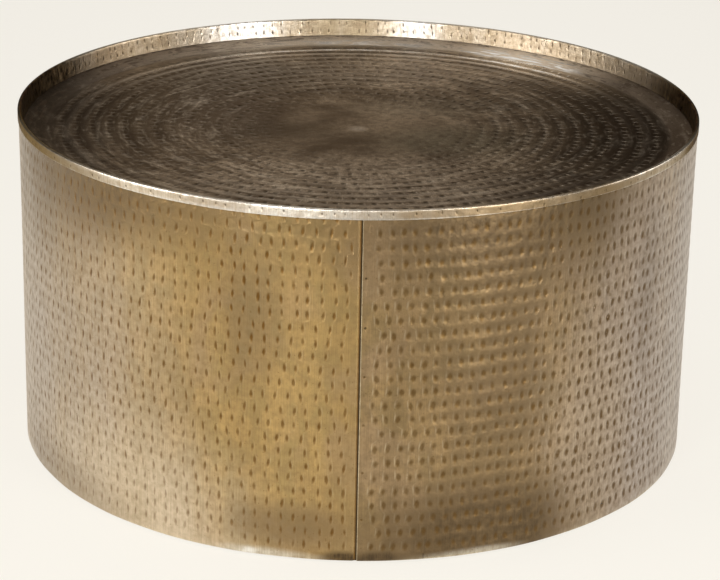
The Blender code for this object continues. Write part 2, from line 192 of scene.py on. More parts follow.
class Bench:
    """Lays out the nodes of one material."""

    def __init__(self, name: str) -> None:
        """Starts an empty material.

        Args:
            name: The material's name.
        """
        self.material = bpy.data.materials.new(name)
        self.material.use_nodes = True
        self.tree = self.material.node_tree
        self.tree.nodes.clear()

    def node(
        self,
        kind: str,
        settings: Optional[dict[str, Any]] = None,
        sockets: Optional[dict[Union[int, str], Any]] = None,
        out: Union[int, str] = 0,
    ) -> Wire:
        """Adds one node.

        Args:
            kind: The node's type.
            settings: The node's own properties, set before its sockets.
            sockets: Values or wires for its inputs.
            out: The output to go on with.

        Returns:
            The chosen output.
        """
        made = self.tree.nodes.new(kind)
        for name, value in (settings or {}).items():
            setattr(made, name, value)
        for key, value in (sockets or {}).items():
            if isinstance(value, Wire):
                self.tree.links.new(value.socket, made.inputs[key])
            else:
                made.inputs[key].default_value = value
        return Wire(self, made.outputs[out])

    def vector(
        self,
        operation: str,
        first: Wire,
        second: Optional[Place] = None,
        out: Union[int, str] = 0,
    ) -> Wire:
        """Adds one Vector Math node.

        Args:
            operation: What it works out.
            first: The vector that it starts from.
            second: The vector that it works with, where it takes one.
            out: The output to go on with.

        Returns:
            The chosen output.
        """
        sockets = {0: first} if second is None else {0: first, 1: second}
        return self.node("ShaderNodeVectorMath", {"operation": operation}, sockets, out)

    def place(self) -> Wire:
        """Gives the point on the piece, in metres."""
        return self.node("ShaderNodeTexCoord", out="Object")

    def upright(self, place: Wire, factor: float) -> Wire:
        """Scales a point's height."""
        return self.vector("MULTIPLY", place, (1.0, 1.0, factor))

    def part_of(self, vector: Wire, axis: str) -> Wire:
        """Gives one coordinate, X, Y or Z, of a vector."""
        return self.node("ShaderNodeSeparateXYZ", None, {0: vector}, axis)

    def layer(self, name: str) -> Wire:
        """Reads a value that the mesh holds at its points."""
        return self.node("ShaderNodeAttribute", {"attribute_name": name}, None, "Fac")

    def noise(self, place: Wire, scale: float, detail: float = 3.0, swirl: float = 0.0) -> Wire:
        """Adds a noise pattern.

        Args:
            place: Where the pattern is read.
            scale: Patches to the metre.
            detail: Finer layers on top.
            swirl: How far the pattern twists.

        Returns:
            The pattern's value, about 0.5 on average.
        """
        sockets = {"Vector": place, "Scale": scale, "Detail": detail, "Distortion": swirl}
        return self.node("ShaderNodeTexNoise", None, sockets, "Fac")

    def arcs(self, flat: Wire, radius: Wire, scale: float, breaks: float) -> Wire:
        """Adds a noise pattern that runs in arcs about the middle.

        Args:
            flat: The point, without its height.
            radius: The distance from the middle.
            scale: Arcs to the metre, outwards.
            breaks: How often an arc breaks off on its way round.

        Returns:
            The pattern's value, about 0.5 on average.
        """
        ahead = self.vector("NORMALIZE", flat)
        sockets: dict[Union[int, str], Any] = {axis: self.part_of(ahead, axis) * breaks for axis in "XY"}
        sockets["Z"] = radius * scale
        return self.noise(self.node("ShaderNodeCombineXYZ", None, sockets), scale=1.0)

    def mixed(self, share: Value, first: Tint, second: Tint) -> Wire:
        """Mixes two colours.

        Args:
            share: How much of the second shows, from 0 to 1.
            first: The colour at 0.
            second: The colour at 1.

        Returns:
            The mixed colour.
        """
        first = first if isinstance(first, Wire) else (*first, 1.0)
        second = second if isinstance(second, Wire) else (*second, 1.0)
        settings = {"data_type": "RGBA", "clamp_factor": True}
        # A Mix node has its colours at inputs 6 and 7 and their mix at output 2.
        return self.node("ShaderNodeMix", settings, {0: share, 6: first, 7: second}, 2)

    def layered(self, colour: Tint, *coats: tuple[Value, Colour]) -> Tint:
        """Lays coats over a colour, one after another.

        Args:
            colour: The colour underneath.
            coats: How much of each coat shows, and its colour.

        Returns:
            The colour with its coats.
        """
        for share, coat in coats:
            colour = self.mixed(share, colour, coat)
        return colour

    def bump(self, height: Wire, strength: float, depth: float, under: Optional[Wire] = None) -> Wire:
        """Turns a height into a normal.

        Args:
            height: The height, from 0 to 1.
            strength: How much of the relief shows.
            depth: The relief's depth in metres.
            under: A coarser relief that this one lies on.

        Returns:
            The normal.
        """
        sockets: dict[Union[int, str], Any] = {"Height": height, "Strength": strength, "Distance": depth}
        if under is not None:
            sockets["Normal"] = under
        return self.node("ShaderNodeBump", None, sockets)

    def coated(self, **sockets: Any) -> bpy.types.Material:
        """Closes the material with one Principled surface.

        Args:
            sockets: Values or wires for the surface, with underscores for spaces in the names.

        Returns:
            The finished material.
        """
        named = {name.replace("_", " "): value for name, value in sockets.items()}
        surface = self.node("ShaderNodeBsdfPrincipled", None, named)
        output = self.tree.nodes.new("ShaderNodeOutputMaterial")
        self.tree.links.new(surface.socket, output.inputs["Surface"])
        return self.material


@dataclass(frozen=True)
class TintCloud:
    """A cloud of tint about one place on the sheet: most paint in shade, highlights or reflections, and a few
    darken or pale the wall's foot.
    """

    centre: Place
    reach: Place
    tint: Colour
    strength: float
    veil: float = 0.0
    core: float = 0.2

    def mask(self, bench: Bench, place: Wire) -> Wire:
        """Gives the cloud's strength at a point, fading to 0 at its reach."""
        away = bench.vector("DIVIDE", bench.vector("SUBTRACT", place, self.centre), self.reach)
        return (1.0 - bench.vector("LENGTH", away, out="Value").rise(self.core, 1.0)) * self.strength


@dataclass(frozen=True)
class HammeredBrass:
    """Antiqued brass sheet under a satin lacquer, darker in its hammer marks, worn pale on its edges with
    painted highlights there, and clouded with painted shade and painted light.
    """

    name: str
    gold: Colour
    olive: Colour
    rose: Colour
    umber: Colour
    mark: Colour
    worn_and_highlit: Colour
    tarnish: float
    grime: float
    roughness: float
    lacquer: float
    dents: float
    glance: Colour = (1.0, 1.0, 1.0)
    tint_clouds: tuple[TintCloud, ...] = ()

    def material(self) -> bpy.types.Material:
        """Builds the finish.

        Returns:
            The material.
        """
        bench = Bench(self.name)
        place = bench.place()
        grain = bench.noise(bench.upright(place, 0.035), scale=900.0, detail=2.0)
        streaks = bench.noise(bench.upright(place, 0.14), scale=17.0, detail=4.0, swirl=0.4)
        clouds = bench.noise(place, scale=8.0, detail=5.0, swirl=0.8)
        patches = bench.noise(bench.upright(place, 0.6), scale=42.0, detail=4.0, swirl=0.5)
        mottle = bench.noise(place, scale=140.0)
        specks = bench.noise(place, scale=520.0, detail=2.0)
        struck = bench.layer(MARK_LAYER)
        wear_and_highlight = bench.layer(WEAR_AND_HIGHLIGHT_LAYER)

        tarnish = (streaks.rise(0.40, 0.68) * 0.7 + clouds.rise(0.42, 0.70) * 0.3) * self.tarnish
        colour = bench.layered(
            self.gold,
            (patches.rise(0.40, 0.62) * 0.8, self.olive),
            (clouds.rise(0.46, 0.64) * 0.6, self.rose),
            (tarnish, self.umber),
            (wear_and_highlight * (0.5 + mottle * 0.6), self.worn_and_highlit),
        )
        clear: Value = 1.0
        # Clouds of painted shade and painted light, and a few at the wall's foot.
        for tint_cloud in self.tint_clouds:
            cloud = tint_cloud.mask(bench, place) * (0.45 + streaks * 1.1)
            colour = bench.mixed(cloud, colour, tint_cloud.tint)
            clear = clear - cloud * tint_cloud.veil
        marks = struck.rise(0.02, 0.75) * (self.grime + (mottle - 0.5) * 0.8)
        colour = bench.layered(
            colour,
            (wear_and_highlight.rise(0.45, 0.85) * 0.55, self.worn_and_highlit),
            ((mottle - 0.38) * 1.7 * clear, self.umber),
            ((grain - 0.39) * 1.3 * clear, self.umber),
            (marks * clear, self.mark),
            (specks.rise(0.66, 0.74) * 0.6, self.mark),
            (struck.rise(1.18, 1.40), GRIME_AND_SHADE_BROWN),
        )

        rough = self.roughness + (grain - 0.5) * 0.25 + (mottle - 0.5) * 0.2 + tarnish * 0.08 - wear_and_highlight * 0.08
        relief = bench.bump(bench.noise(place, scale=80.0), self.dents, depth=0.0010)
        relief = bench.bump(mottle, strength=0.35, depth=0.0003, under=relief)
        relief = bench.bump(grain, strength=0.15, depth=0.00015, under=relief)
        return bench.coated(
            Base_Color=colour,
            Roughness=rough,
            Metallic=1.0,
            Normal=relief,
            Specular_Tint=(*self.glance, 1.0),
            Coat_Weight=self.lacquer,
            Coat_Roughness=0.30,
        )


@dataclass(frozen=True)
class Scratch:
    """A straight scratch across the tray, from one end to the other."""

    start: tuple[float, float]
    end: tuple[float, float]
    half_width: float
    fade: float = 0.4

    def mask(self, bench: Bench, place: Wire) -> Wire:
        """Finds the scratch.

        Args:
            bench: The bench that the nodes go on.
            place: The point on the tray.

        Returns:
            1 in the scratch and 0 beside it.
        """
        run = Vector(self.end) - Vector(self.start)
        length = run.length
        run.normalize()
        x, y = (bench.part_of(place, axis) for axis in "XY")
        across = y * run.x - x * run.y - (self.start[1] * run.x - self.start[0] * run.y)
        along = x * run.x + y * run.y - (self.start[0] * run.x + self.start[1] * run.y)
        fading_in = along.rise(0.0, length * self.fade)
        fading_out = along.rise(length * (1 - self.fade), length)
        return (1.0 - across.size().rise(0.0, self.half_width)) * fading_in * (1.0 - fading_out)


@dataclass(frozen=True)
class DarkTrayBrass:
    """Brass under a dark brown patina, clouded in swirls and scratched by use, paler on the ridges as worn
    metal and painted highlight, with painted glints, a painted shade at the border's left end and clouds of
    painted light and shade.
    """

    name: str
    brown: Colour
    black: Colour
    pale: Colour
    painted_glint: Colour
    mark: Colour
    glance: Colour
    roughness: float
    scratches: tuple[Scratch, ...]
    tint_clouds: tuple[TintCloud, ...]
    plain_middle: Span = (0.04, 0.22)
    border_from: Span = (0.360, 0.372)
    painted_glints_to: Span = (0.372, 0.392)
    softer_beside: Span = (0.10, 0.30)
    softer_behind: Span = (0.10, 0.26)
    dark_left_end: Span = (-0.30, -0.38)

    def material(self) -> bpy.types.Material:
        """Builds the finish.

        Returns:
            The material.
        """
        bench = Bench(self.name)
        place = bench.place()
        flat = bench.upright(place, 0.0)
        sideways = bench.part_of(flat, "X")
        radius = bench.vector("LENGTH", flat, out="Value")
        swirls = bench.noise(place, scale=6.0, detail=5.0, swirl=2.2)
        clouds = bench.noise(place, scale=17.0, detail=4.0, swirl=0.6)
        mottle = bench.noise(place, scale=120.0)
        grain = bench.noise(place, scale=700.0, detail=2.0)
        wobble = radius + (swirls - 0.5) * 0.06 + (clouds - 0.5) * 0.015
        outside = radius.rise(*self.plain_middle)
        streaks = 0.5 + (bench.arcs(flat, wobble, scale=70.0, breaks=3.0) - 0.5) * outside
        lathe = 0.5 + (bench.arcs(flat, radius, scale=240.0, breaks=14.0) - 0.5) * outside
        wear_and_highlight = bench.layer(WEAR_AND_HIGHLIGHT_LAYER)

        border = radius.rise(*self.border_from)
        beside = sideways.size().rise(*self.softer_beside)
        behind = bench.part_of(flat, "Y").rise(*self.softer_behind)
        marks = bench.layer(MARK_LAYER).rise(0.02, 0.7) * (0.25 + outside * 0.75)
        marks = marks * (0.05 + clouds * 0.9) * (1.0 - beside * 0.80) * (1.0 - behind * 0.50)
        # Painted shade: the border's left end is darkened towards black.
        left_end_painted_shade = sideways.rise(*self.dark_left_end) * (0.35 + mottle * 0.6)
        blotches = (1.0 - lathe.rise(0.40, 0.54)) * mottle.rise(0.38, 0.56) * 0.7
        flecks = (1.0 - beside) * grain.rise(0.56, 0.66) * 0.35
        # Painted glints: white, non-metallic streaks on the ridges at the back right.
        painted_glints = wear_and_highlight.rise(0.45, 0.85) * (1.0 - lathe.rise(0.45, 0.55))
        painted_glints = painted_glints * (1.0 - radius.rise(*self.painted_glints_to))

        colour = bench.mixed(swirls.rise(0.34, 0.62), self.black, self.brown)
        # Clouds of painted highlight and painted shade over the tray.
        for tint_cloud in self.tint_clouds:
            colour = bench.mixed(tint_cloud.mask(bench, place) * (0.4 + swirls * 1.2), colour, tint_cloud.tint)
        colour = bench.layered(
            colour,
            (streaks.rise(0.52, 0.74) * 0.24, self.pale),
            ((0.55 - streaks) * 2.6, self.black),
            ((lathe - 0.45) * 2.4, self.black),
            ((0.47 - lathe) * 1.4, self.pale),
            ((mottle - 0.42) * 2.3, self.black),
            ((grain - 0.43) * 2.2, self.black),
            (wear_and_highlight * (0.1 + mottle * 0.7 + lathe * 0.6), self.pale),
            (marks, self.mark),
            (border * left_end_painted_shade, self.mark),
            (border * blotches, self.black),
            (border * flecks, self.pale),
            *((scratch.mask(bench, place) * 0.40, self.pale) for scratch in self.scratches),
            (painted_glints, self.painted_glint),
        )

        rough = self.roughness + (grain - 0.5) * 0.25 - wear_and_highlight * 0.14 + (clouds - 0.5) * 0.15 + border * 0.20
        relief = bench.bump(bench.noise(place, scale=75.0), strength=0.25, depth=0.0009)
        relief = bench.bump(lathe, strength=0.25, depth=0.0003, under=relief)
        relief = bench.bump(mottle, strength=0.35, depth=0.0003, under=relief)
        return bench.coated(
            Base_Color=colour,
            Roughness=rough,
            Metallic=(1.0 - wear_and_highlight * 0.65) * (1.0 - painted_glints),
            Normal=relief,
            Specular_Tint=(*self.glance, 1.0),
        )


@dataclass(frozen=True)
class PlainFinish:
    """Paint, plating or moulded plastic on the small and hidden pieces, with dust and a fine surface."""

    name: str
    tone: Colour
    worn: Colour
    roughness: float
    metallic: float
    pebble: float

    def material(self) -> bpy.types.Material:
        """Builds the finish.

        Returns:
            The material.
        """
        bench = Bench(self.name)
        place = bench.place()
        dust = bench.noise(place, scale=24.0, detail=5.0, swirl=0.5)
        pebble = bench.noise(place, self.pebble, detail=2.0)
        colour = bench.layered(
            self.tone,
            (dust.rise(0.45, 0.75) * 0.5, self.worn),
            (pebble.rise(0.60, 0.80) * 0.3, self.worn),
        )
        rough = self.roughness + (pebble - 0.5) * 0.25 + (dust - 0.5) * 0.2
        relief = bench.bump(pebble, strength=0.25, depth=0.0002)
        return bench.coated(Base_Color=colour, Roughness=rough, Metallic=self.metallic, Normal=relief)


@dataclass(frozen=True)
class StudioPaper:
    """The pale floor, lit from below about the table so that it shows no shadow there."""

    name: str
    tone: Colour
    glow: Colour
    strength: float
    fibre_shade: float = 0.92
    far_glow: float = 0.24
    lit_about: Place = (-0.3, 0.9, 0.0)
    lit_to: float = 1.6
    dark_from: float = 2.8

    def material(self) -> bpy.types.Material:
        """Builds the finish.

        Returns:
            The material.
        """
        bench = Bench(self.name)
        place = bench.place()
        fibre = bench.noise(place, scale=300.0, detail=2.0) * 0.04
        away = bench.vector("DISTANCE", place, self.lit_about, "Value").rise(self.lit_to, self.dark_from)
        return bench.coated(
            Base_Color=bench.mixed(fibre, self.tone, tuple(self.fibre_shade * part for part in self.tone)),
            Roughness=0.9,
            Emission_Color=bench.mixed(away, self.glow, tuple(self.far_glow * part for part in self.glow)),
            Emission_Strength=self.strength,
        )


def round_place(radius: np.ndarray, angle: np.ndarray, height: np.ndarray) -> np.ndarray:
    """Gives points from their radii, angles and heights."""
    radius, angle, height = np.broadcast_arrays(radius, angle, height)
    return np.stack([radius * np.cos(angle), radius * np.sin(angle), height], axis=1)


def rise(value: np.ndarray, low: float, high: float) -> np.ndarray:
    """Gives a smooth step, from 0 at the low value to 1 at the high one."""
    share = np.clip((value - low) / (high - low), 0.0, 1.0)
    return share * share * (3 - 2 * share)


def bell(value: np.ndarray, middle: float, spread: float) -> np.ndarray:
    """Gives a soft hump, 1 at its middle and near 0 at twice its spread."""
    return np.exp(-(((value - middle) / spread) ** 2))


def bowl_depth(square: np.ndarray) -> np.ndarray:
    """Gives how deep a mark's bowl is, from 0 to 1, at a squared distance from its middle."""
    return np.clip(1 - square / BOWL_EDGE**2, 0, 1) ** BOWL_CURVE


def waves(around: Any, across: Any, *terms: tuple[float, float, float, float]) -> np.ndarray:
    """Adds up slow waves over a sheet.

    Args:
        around: Places along the sheet.
        across: Places across it.
        terms: Each wave's height, its turns along and across, and its start.

    Returns:
        The waves' height at each place.
    """
    return sum(height * np.sin(along * around + up * across + start) for height, along, up, start in terms)


@dataclass
class MarkRow:
    """One row of hammer marks, set out along the sheet."""

    centres: np.ndarray
    levels: np.ndarray
    half_widths: np.ndarray
    half_heights: np.ndarray
    forces: np.ndarray
    leans: np.ndarray
    depth: float
    skew: float

    def along(self, share: float) -> np.ndarray:
        """Gives the places along the sheet of one line's points.

        Args:
            share: Where the line crosses the marks, in half heights from their middles.

        Returns:
            One place for each point of each mark.
        """
        spread = self.half_widths[:, None] * MARK_COLUMNS
        lean = self.leans * self.half_heights * share
        return (self.centres[:, None] + spread + lean[:, None]).ravel()

    def across(self, share: float) -> np.ndarray:
        """Gives the places across the row of one line's points."""
        return np.repeat(self.levels + self.half_heights * share, len(MARK_COLUMNS))

    def bowls(self, share: float) -> np.ndarray:
        """Gives how deep in its mark each point of a line lies, about 1 at the bottom of a full mark."""
        bowl = bowl_depth(MARK_COLUMNS**2 + share**2)
        return np.outer(self.forces, bowl * (1 - 0.5 * self.skew * MARK_COLUMNS)).ravel()

    def lips(self, share: float) -> np.ndarray:
        """Gives how far each point of a line lies on the lip beside its mark, from 0 to 1."""
        beside = np.isclose(MARK_COLUMNS * self.skew, BOWL_EDGE * abs(self.skew)) & (self.skew != 0)
        return np.outer(self.forces, beside * max(0.0, 1 - ((share - LIP_RISE) / BOWL_EDGE) ** 2)).ravel()

    def insets(self, share: float) -> np.ndarray:
        """Gives how far each point of a line is driven in."""
        return self.depth * (self.bowls(share) - LIP_HEIGHT * self.lips(share))


@dataclass(frozen=True)
class HammerWork:
    """How a stretch of sheet was hammered, in metres."""

    pitch: float
    half_width: float
    half_height: float
    depth: float
    stray: float
    wander: float
    missed: float = 0.0
    skew: float = 0.0

    def reach(self) -> float:
        """Gives the room that the widest mark takes on each side of its middle."""
        return MARK_WIDTHS[1] * self.half_width * MARK_COLUMNS[-1]

    def row(self, hand: np.random.Generator, length: float, phase: float) -> MarkRow:
        """Sets out one row of marks.

        Args:
            hand: Where the unevenness of the hand comes from.
            length: The row's length.
            phase: Where the row's slow wander starts.

        Returns:
            The row, from 0 to the length.
        """
        count = max(3, round(length / self.pitch))
        step = length / count
        shift = hand.uniform(*ROW_STARTS)
        centres = step * (np.arange(count) + shift + hand.uniform(-self.stray, self.stray, count))
        slow = waves(centres, phase, (1.0, 9.0, 1.0, 0.0), (0.6, 23.0, 2.3, 0.0))
        levels = self.wander * (slow + hand.uniform(*MARK_LEVELS, count))
        struck = hand.uniform(0, 1, count) >= self.missed
        return MarkRow(
            centres,
            levels,
            self.half_width * hand.uniform(*MARK_WIDTHS, count),
            self.half_height * hand.uniform(*MARK_HEIGHTS, count),
            hand.uniform(*MARK_FORCES, count) * struck,
            hand.uniform(*MARK_LEANS, count),
            self.depth,
            self.skew,
        )


class SheetDraft:
    """Gathers the points and faces of one piece of sheet until it becomes a mesh."""

    def __init__(self) -> None:
        """Starts with nothing."""
        self.points: list[np.ndarray] = []
        self.marks: list[np.ndarray] = []
        self.wear_and_highlight: list[np.ndarray] = []
        self.faces: list[list[int]] = []
        self.count = 0

    def line(
        self,
        points: np.ndarray,
        marks: Union[float, np.ndarray] = 0.0,
        wear_and_highlight: Union[float, np.ndarray] = 0.0,
    ) -> np.ndarray:
        """Adds one line of points.

        Args:
            points: Their places, one row each.
            marks: How deep in a hammer mark each lies, from 0 to 1, and more in a seam's grime.
            wear_and_highlight: How pale the edge there is painted, from 0 to 1, partly worn metal and partly
                painted highlight.

        Returns:
            The points' numbers.
        """
        numbers = np.arange(self.count, self.count + len(points))
        self.points.append(points)
        self.marks.append(np.broadcast_to(marks, len(points)))
        self.wear_and_highlight.append(np.broadcast_to(wear_and_highlight, len(points)))
        self.count += len(points)
        return numbers

    def bridge(self, first: np.ndarray, second: np.ndarray, closed: bool = False) -> None:
        """Joins two lines of equally many points.

        Args:
            first: The one line's points.
            second: The other line's points.
            closed: Whether the lines run all the way round.
        """
        if closed:
            first = np.append(first, first[0])
            second = np.append(second, second[0])
        self.faces += np.stack([first[:-1], first[1:], second[1:], second[:-1]], axis=1).tolist()

    def stitch(
        self,
        first: np.ndarray,
        second: np.ndarray,
        here: Sequence[float],
        there: Sequence[float],
    ) -> None:
        """Joins two lines of any counts with triangles.

        Args:
            first: The one line's points.
            second: The other line's points.
            here: Where the first line's points lie along it, rising.
            there: Where the second line's points lie along it, rising.
        """
        i = j = 0
        while i < len(first) - 1 or j < len(second) - 1:
            second_ended = j == len(second) - 1
            if second_ended or (i < len(first) - 1 and here[i + 1] <= there[j + 1]):
                self.faces.append([int(first[i]), int(first[i + 1]), int(second[j])])
                i += 1
            else:
                self.faces.append([int(first[i]), int(second[j + 1]), int(second[j])])
                j += 1

    def stitch_round(self, first: np.ndarray, second: np.ndarray, *at: np.ndarray) -> None:
        """Joins two closed lines of any counts, each given by its rising angles."""
        turned = (np.append(angles, angles[0] + FULL_TURN) for angles in at)
        self.stitch(np.append(first, first[0]), np.append(second, second[0]), *turned)

    def fan(self, middle: np.ndarray, ring: np.ndarray) -> None:
        """Closes a ring with triangles to its middle point."""
        for start, end in zip(ring, np.roll(ring, -1)):
            self.faces.append([int(middle[0]), int(start), int(end)])

    def piece(self, name: str, finish: bpy.types.Material) -> bpy.types.Object:
        """Makes the closed, smooth piece.

        Args:
            name: The piece's name.
            finish: Its material.

        Returns:
            The piece, in the scene.
        """
        mesh = bpy.data.meshes.new(name)
        mesh.from_pydata(np.concatenate(self.points).tolist(), [], self.faces)
        for layer, values in ((MARK_LAYER, self.marks), (WEAR_AND_HIGHLIGHT_LAYER, self.wear_and_highlight)):
            stored = mesh.attributes.new(layer, "FLOAT", "POINT")
            stored.data.foreach_set("value", np.concatenate(values).astype(np.float32))
        made = bmesh.new()
        made.from_mesh(mesh)
        bmesh.ops.recalc_face_normals(made, faces=made.faces)
        made.to_mesh(mesh)
        made.free()
        mesh.shade_smooth()
        mesh.set_sharp_from_angle(angle=SHARP_EDGE)
        mesh.materials.append(finish)
        piece = bpy.data.objects.new(name, mesh)
        bpy.context.scene.collection.objects.link(piece)
        return piece


class Strip:
    """Lines of points that run side by side, from the lowest to the highest."""

    def __init__(self) -> None:
        """Starts with no lines."""
        self.lines: list[np.ndarray] = []
        self.along: list[np.ndarray] = []
        self.levels: list[float] = []

    def add(self, line: np.ndarray, level: float, along: np.ndarray) -> None:
        """Adds one line.

        Args:
            line: Its points' numbers.
            level: Its height.
            along: Where its points lie along it.
        """
        self.lines.append(line)
        self.along.append(along)
        self.levels.append(level)

    def side(self, end: int) -> np.ndarray:
        """Gives the points at one end of the lines, 0 or -1."""
        return np.array([line[end] for line in self.lines])


@dataclass(kw_only=True)
class HammeredPiece:
    """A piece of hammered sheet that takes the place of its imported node."""

    node: str
    body: Body
    slot: Slot
    seed: int
    lowest: Vector = field(init=False)
    highest: Vector = field(init=False)
    hand: np.random.Generator = field(init=False)
    draft: SheetDraft = field(init=False)

    def __post_init__(self) -> None:
        """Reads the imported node's box, and gets the hand and the sheet ready."""
        self.lowest, self.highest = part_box(self.node)
        self.hand = np.random.default_rng(self.seed)
        self.draft = SheetDraft()

    def shape(self) -> None:
        """Drafts the piece's faces."""
        raise NotImplementedError

    def build(self, finish: bpy.types.Material) -> bpy.types.Object:
        """Makes the piece and puts it in the place of its node.

        Args:
            finish: The sheet's material.

        Returns:
            The piece.
        """
        self.shape()
        piece = self.draft.piece(f"hammered_{self.node}", finish)
        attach(piece, self.body.value)
        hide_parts(self.node)
        LOG.info("%s: %d faces, in place of %s", piece.name, len(piece.data.polygons), self.node)
        return piece


@dataclass(kw_only=True)
class DrumPanel(HammeredPiece):
    """Half of the drum's wall: a hammered field between a riveted plain edge and a joggled one.

    Each of the plain foot lines holds its share of the foot's margin and how pale it is painted, as worn
    metal and painted highlight.
    """

    start: float
    work: HammerWork
    row_pitch: float
    rivets: Sequence[str]
    body: Body = Body.DRUM
    slot: Slot = Slot.HAMMERED_BRASS
    sheet: float = 0.0008
    touch: float = 0.0003
    joggle: float = 0.005
    joggle_points: int = 7
    back_joggle_points: int = 6
    joggle_gap: float = 0.0005
    groove: float = 0.0008
    tongue: float = 0.016
    edge_width: float = 0.0068
    edge_gap: float = 0.0002
    edge_round: float = 0.0003
    edge_wear_and_highlight: float = 0.75
    edge_lines: int = 9
    foot_margin: float = 0.017
    foot_lines: tuple[tuple[float, float], ...] = ((0.0, 0.9), (0.12, 0.6), (0.42, 0.0))
    top_gap: float = 0.0004
    plain_top: float = 0.003
    rivet_inset: float = 0.0045
    pit_radius: float = 0.0018
    pit_depth: float = 0.0005
    swell: float = 0.0003
    quilt: float = 0.0
    quilt_fade: float = 0.02
    calm_below_top: Span = (0.016, 0.066)
    lip_wear_and_highlight: float = 0.25
    harder: float = 0.0
    harder_at: float = math.radians(43)
    harder_spread: float = 0.19
    row_phase: float = 0.35
    seam_grime: float = 1.4
    grime_shares: Span = (0.45, 0.90)
    lap_lines: int = 25
    back_lines: int = 12
    back_points: int = 90
    wall: float = field(init=False)
    foot: float = field(init=False)
    top: float = field(init=False)
    length: float = field(init=False)
    joggle_start: float = field(init=False)

    def __post_init__(self) -> None:
        """Takes the wall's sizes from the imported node."""
        super().__post_init__()
        self.wall = max(abs(self.lowest.x), abs(self.highest.x))
        self.foot = self.lowest.z
        self.top = self.highest.z
        self.length = math.pi * self.wall
        self.joggle_start = self.length - self.groove - self.joggle

    def unevenness(self, along: np.ndarray, up: np.ndarray) -> np.ndarray:
        """Gives the slow swells of a wall bent by hand, none under the skirt.

        Args:
            along: Places from the plain edge round to the joggled one.
            up: Heights.

        Returns:
            How far each point stands out.
        """
        angle = self.start + along / self.wall
        terms = ((1.0, 7, 5, self.seed), (0.7, 13, -9, 2 * self.seed), (0.5, 29, 17, 3 * self.seed))
        rows = np.cos(FULL_TURN * (up - self.foot - self.foot_margin) / self.row_pitch)
        quilted = self.quilt * rows * rise(along, self.edge_width, self.edge_width + self.quilt_fade)
        return (self.swell * waves(angle, up, *terms) - quilted) * rise(self.top - up, *self.calm_below_top)

    def place(self, along: np.ndarray, up: np.ndarray, inset: np.ndarray) -> np.ndarray:
        """Puts points on the wall.

        Args:
            along: Places from the plain edge round to the joggled one.
            up: Heights.
            inset: How far each point lies inside the wall's outer face.

        Returns:
            The points.
        """
        along, up, inset = np.broadcast_arrays(along, up, inset)
        step_in = (self.sheet + self.touch) * rise(along, self.joggle_start, self.joggle_start + self.joggle)
        radius = self.wall - step_in - inset + self.unevenness(along, up)
        return round_place(radius, self.start + along / self.wall, up)

    def hammered_field(self) -> Strip:
        """Adds the hammered outer face between the two edges.

        Returns:
            Its lines from foot to top.
        """
        ends = np.array([self.edge_width + self.edge_gap, self.joggle_start - self.joggle_gap])
        begin, finish = ends + np.array([1, -1]) * self.work.reach()
        count = math.ceil((self.top - self.foot - self.foot_margin) / self.row_pitch)
        strip = Strip()

        def add(row: MarkRow, share: float, middle: float) -> None:
            """Adds one line through a row of marks, with a plain point at each end.

            Args:
                row: The row.
                share: Where the line crosses the marks, in half heights from their middles.
                middle: The row's height.
            """
            level = middle + share * self.work.half_height
            along = np.concatenate([ends[:1], begin + row.along(share), ends[1:]])
            marked = np.minimum(middle + row.across(share), self.top - self.top_gap)
            points = self.place(along, np.pad(marked, 1, constant_values=level), np.pad(row.insets(share), 1))
            # The lips beside the marks are painted pale, as worn metal and painted highlight.
            wear_and_highlight = np.pad(self.lip_wear_and_highlight * row.lips(share), 1)
            strip.add(self.draft.line(points, np.pad(row.bowls(share), 1), wear_and_highlight), level, along)

        def add_plain(row: MarkRow, level: float, wear_and_highlight: float = 0.0) -> None:
            """Adds one line of plain sheet, painted pale unevenly, as worn metal and painted highlight.

            Args:
                row: The row whose points it takes up.
                level: Its height.
                wear_and_highlight: How pale it is painted, from 0 to 1, as worn metal and painted highlight.
            """
            along = np.concatenate([ends[:1], begin + row.along(0.0), ends[1:]])
            uneven = 0.75 + 0.25 * np.sin(31 * along + self.seed) * np.sin(11 * along)
            strip.add(self.draft.line(self.place(along, level, 0.0), 0.0, wear_and_highlight * uneven), level, along)

        for number in range(count):
            row = self.work.row(self.hand, finish - begin, self.row_phase * number + self.seed)
            row.forces *= 1 + self.harder * bell(row.centres / self.wall, self.harder_at, self.harder_spread)
            level = self.foot + self.foot_margin + number * self.row_pitch
            if number == 0:
                for share, wear_and_highlight in self.foot_lines:
                    add_plain(row, self.foot + share * self.foot_margin, wear_and_highlight)
            for share in MARK_LINES:
                if level + share * self.work.half_height < self.top - self.plain_top:
                    add(row, share, level)
            if number == count - 1:
                add_plain(row, self.top)
        return strip

    def riveted_edge(self) -> Strip:
        """Adds the plain edge, with a pit round the end of each rivet.

        Returns:
            Its lines from foot to top.
        """
        spread = self.pit_radius * MARK_LINES
        rounding = self.edge_round * np.array([0.0, 1.0, 2.5, 4.0])
        along = np.concatenate([rounding, self.rivet_inset + spread, [self.edge_width]])
        # The rounded edge is painted pale, as worn metal and as the highlight that the light puts on it.
        wear_and_highlight = np.where(along < 3 * self.edge_round, self.edge_wear_and_highlight, 0.0)
        pits = [sum(corner.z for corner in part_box(rivet)) / 2 for rivet in self.rivets]
        plain = np.linspace(self.foot, self.top, self.edge_lines)
        strip = Strip()
        for up in sorted({*plain, *(pit + offset for pit in pits for offset in spread)}):
            nearest = min(abs(up - pit) for pit in pits)
            bowl = bowl_depth(((along - self.rivet_inset) ** 2 + nearest**2) / self.pit_radius**2)
            inset = self.pit_depth * bowl
            inset[0] = self.edge_round
            strip.add(self.draft.line(self.place(along, up, inset), bowl, wear_and_highlight), up, along)
        return strip

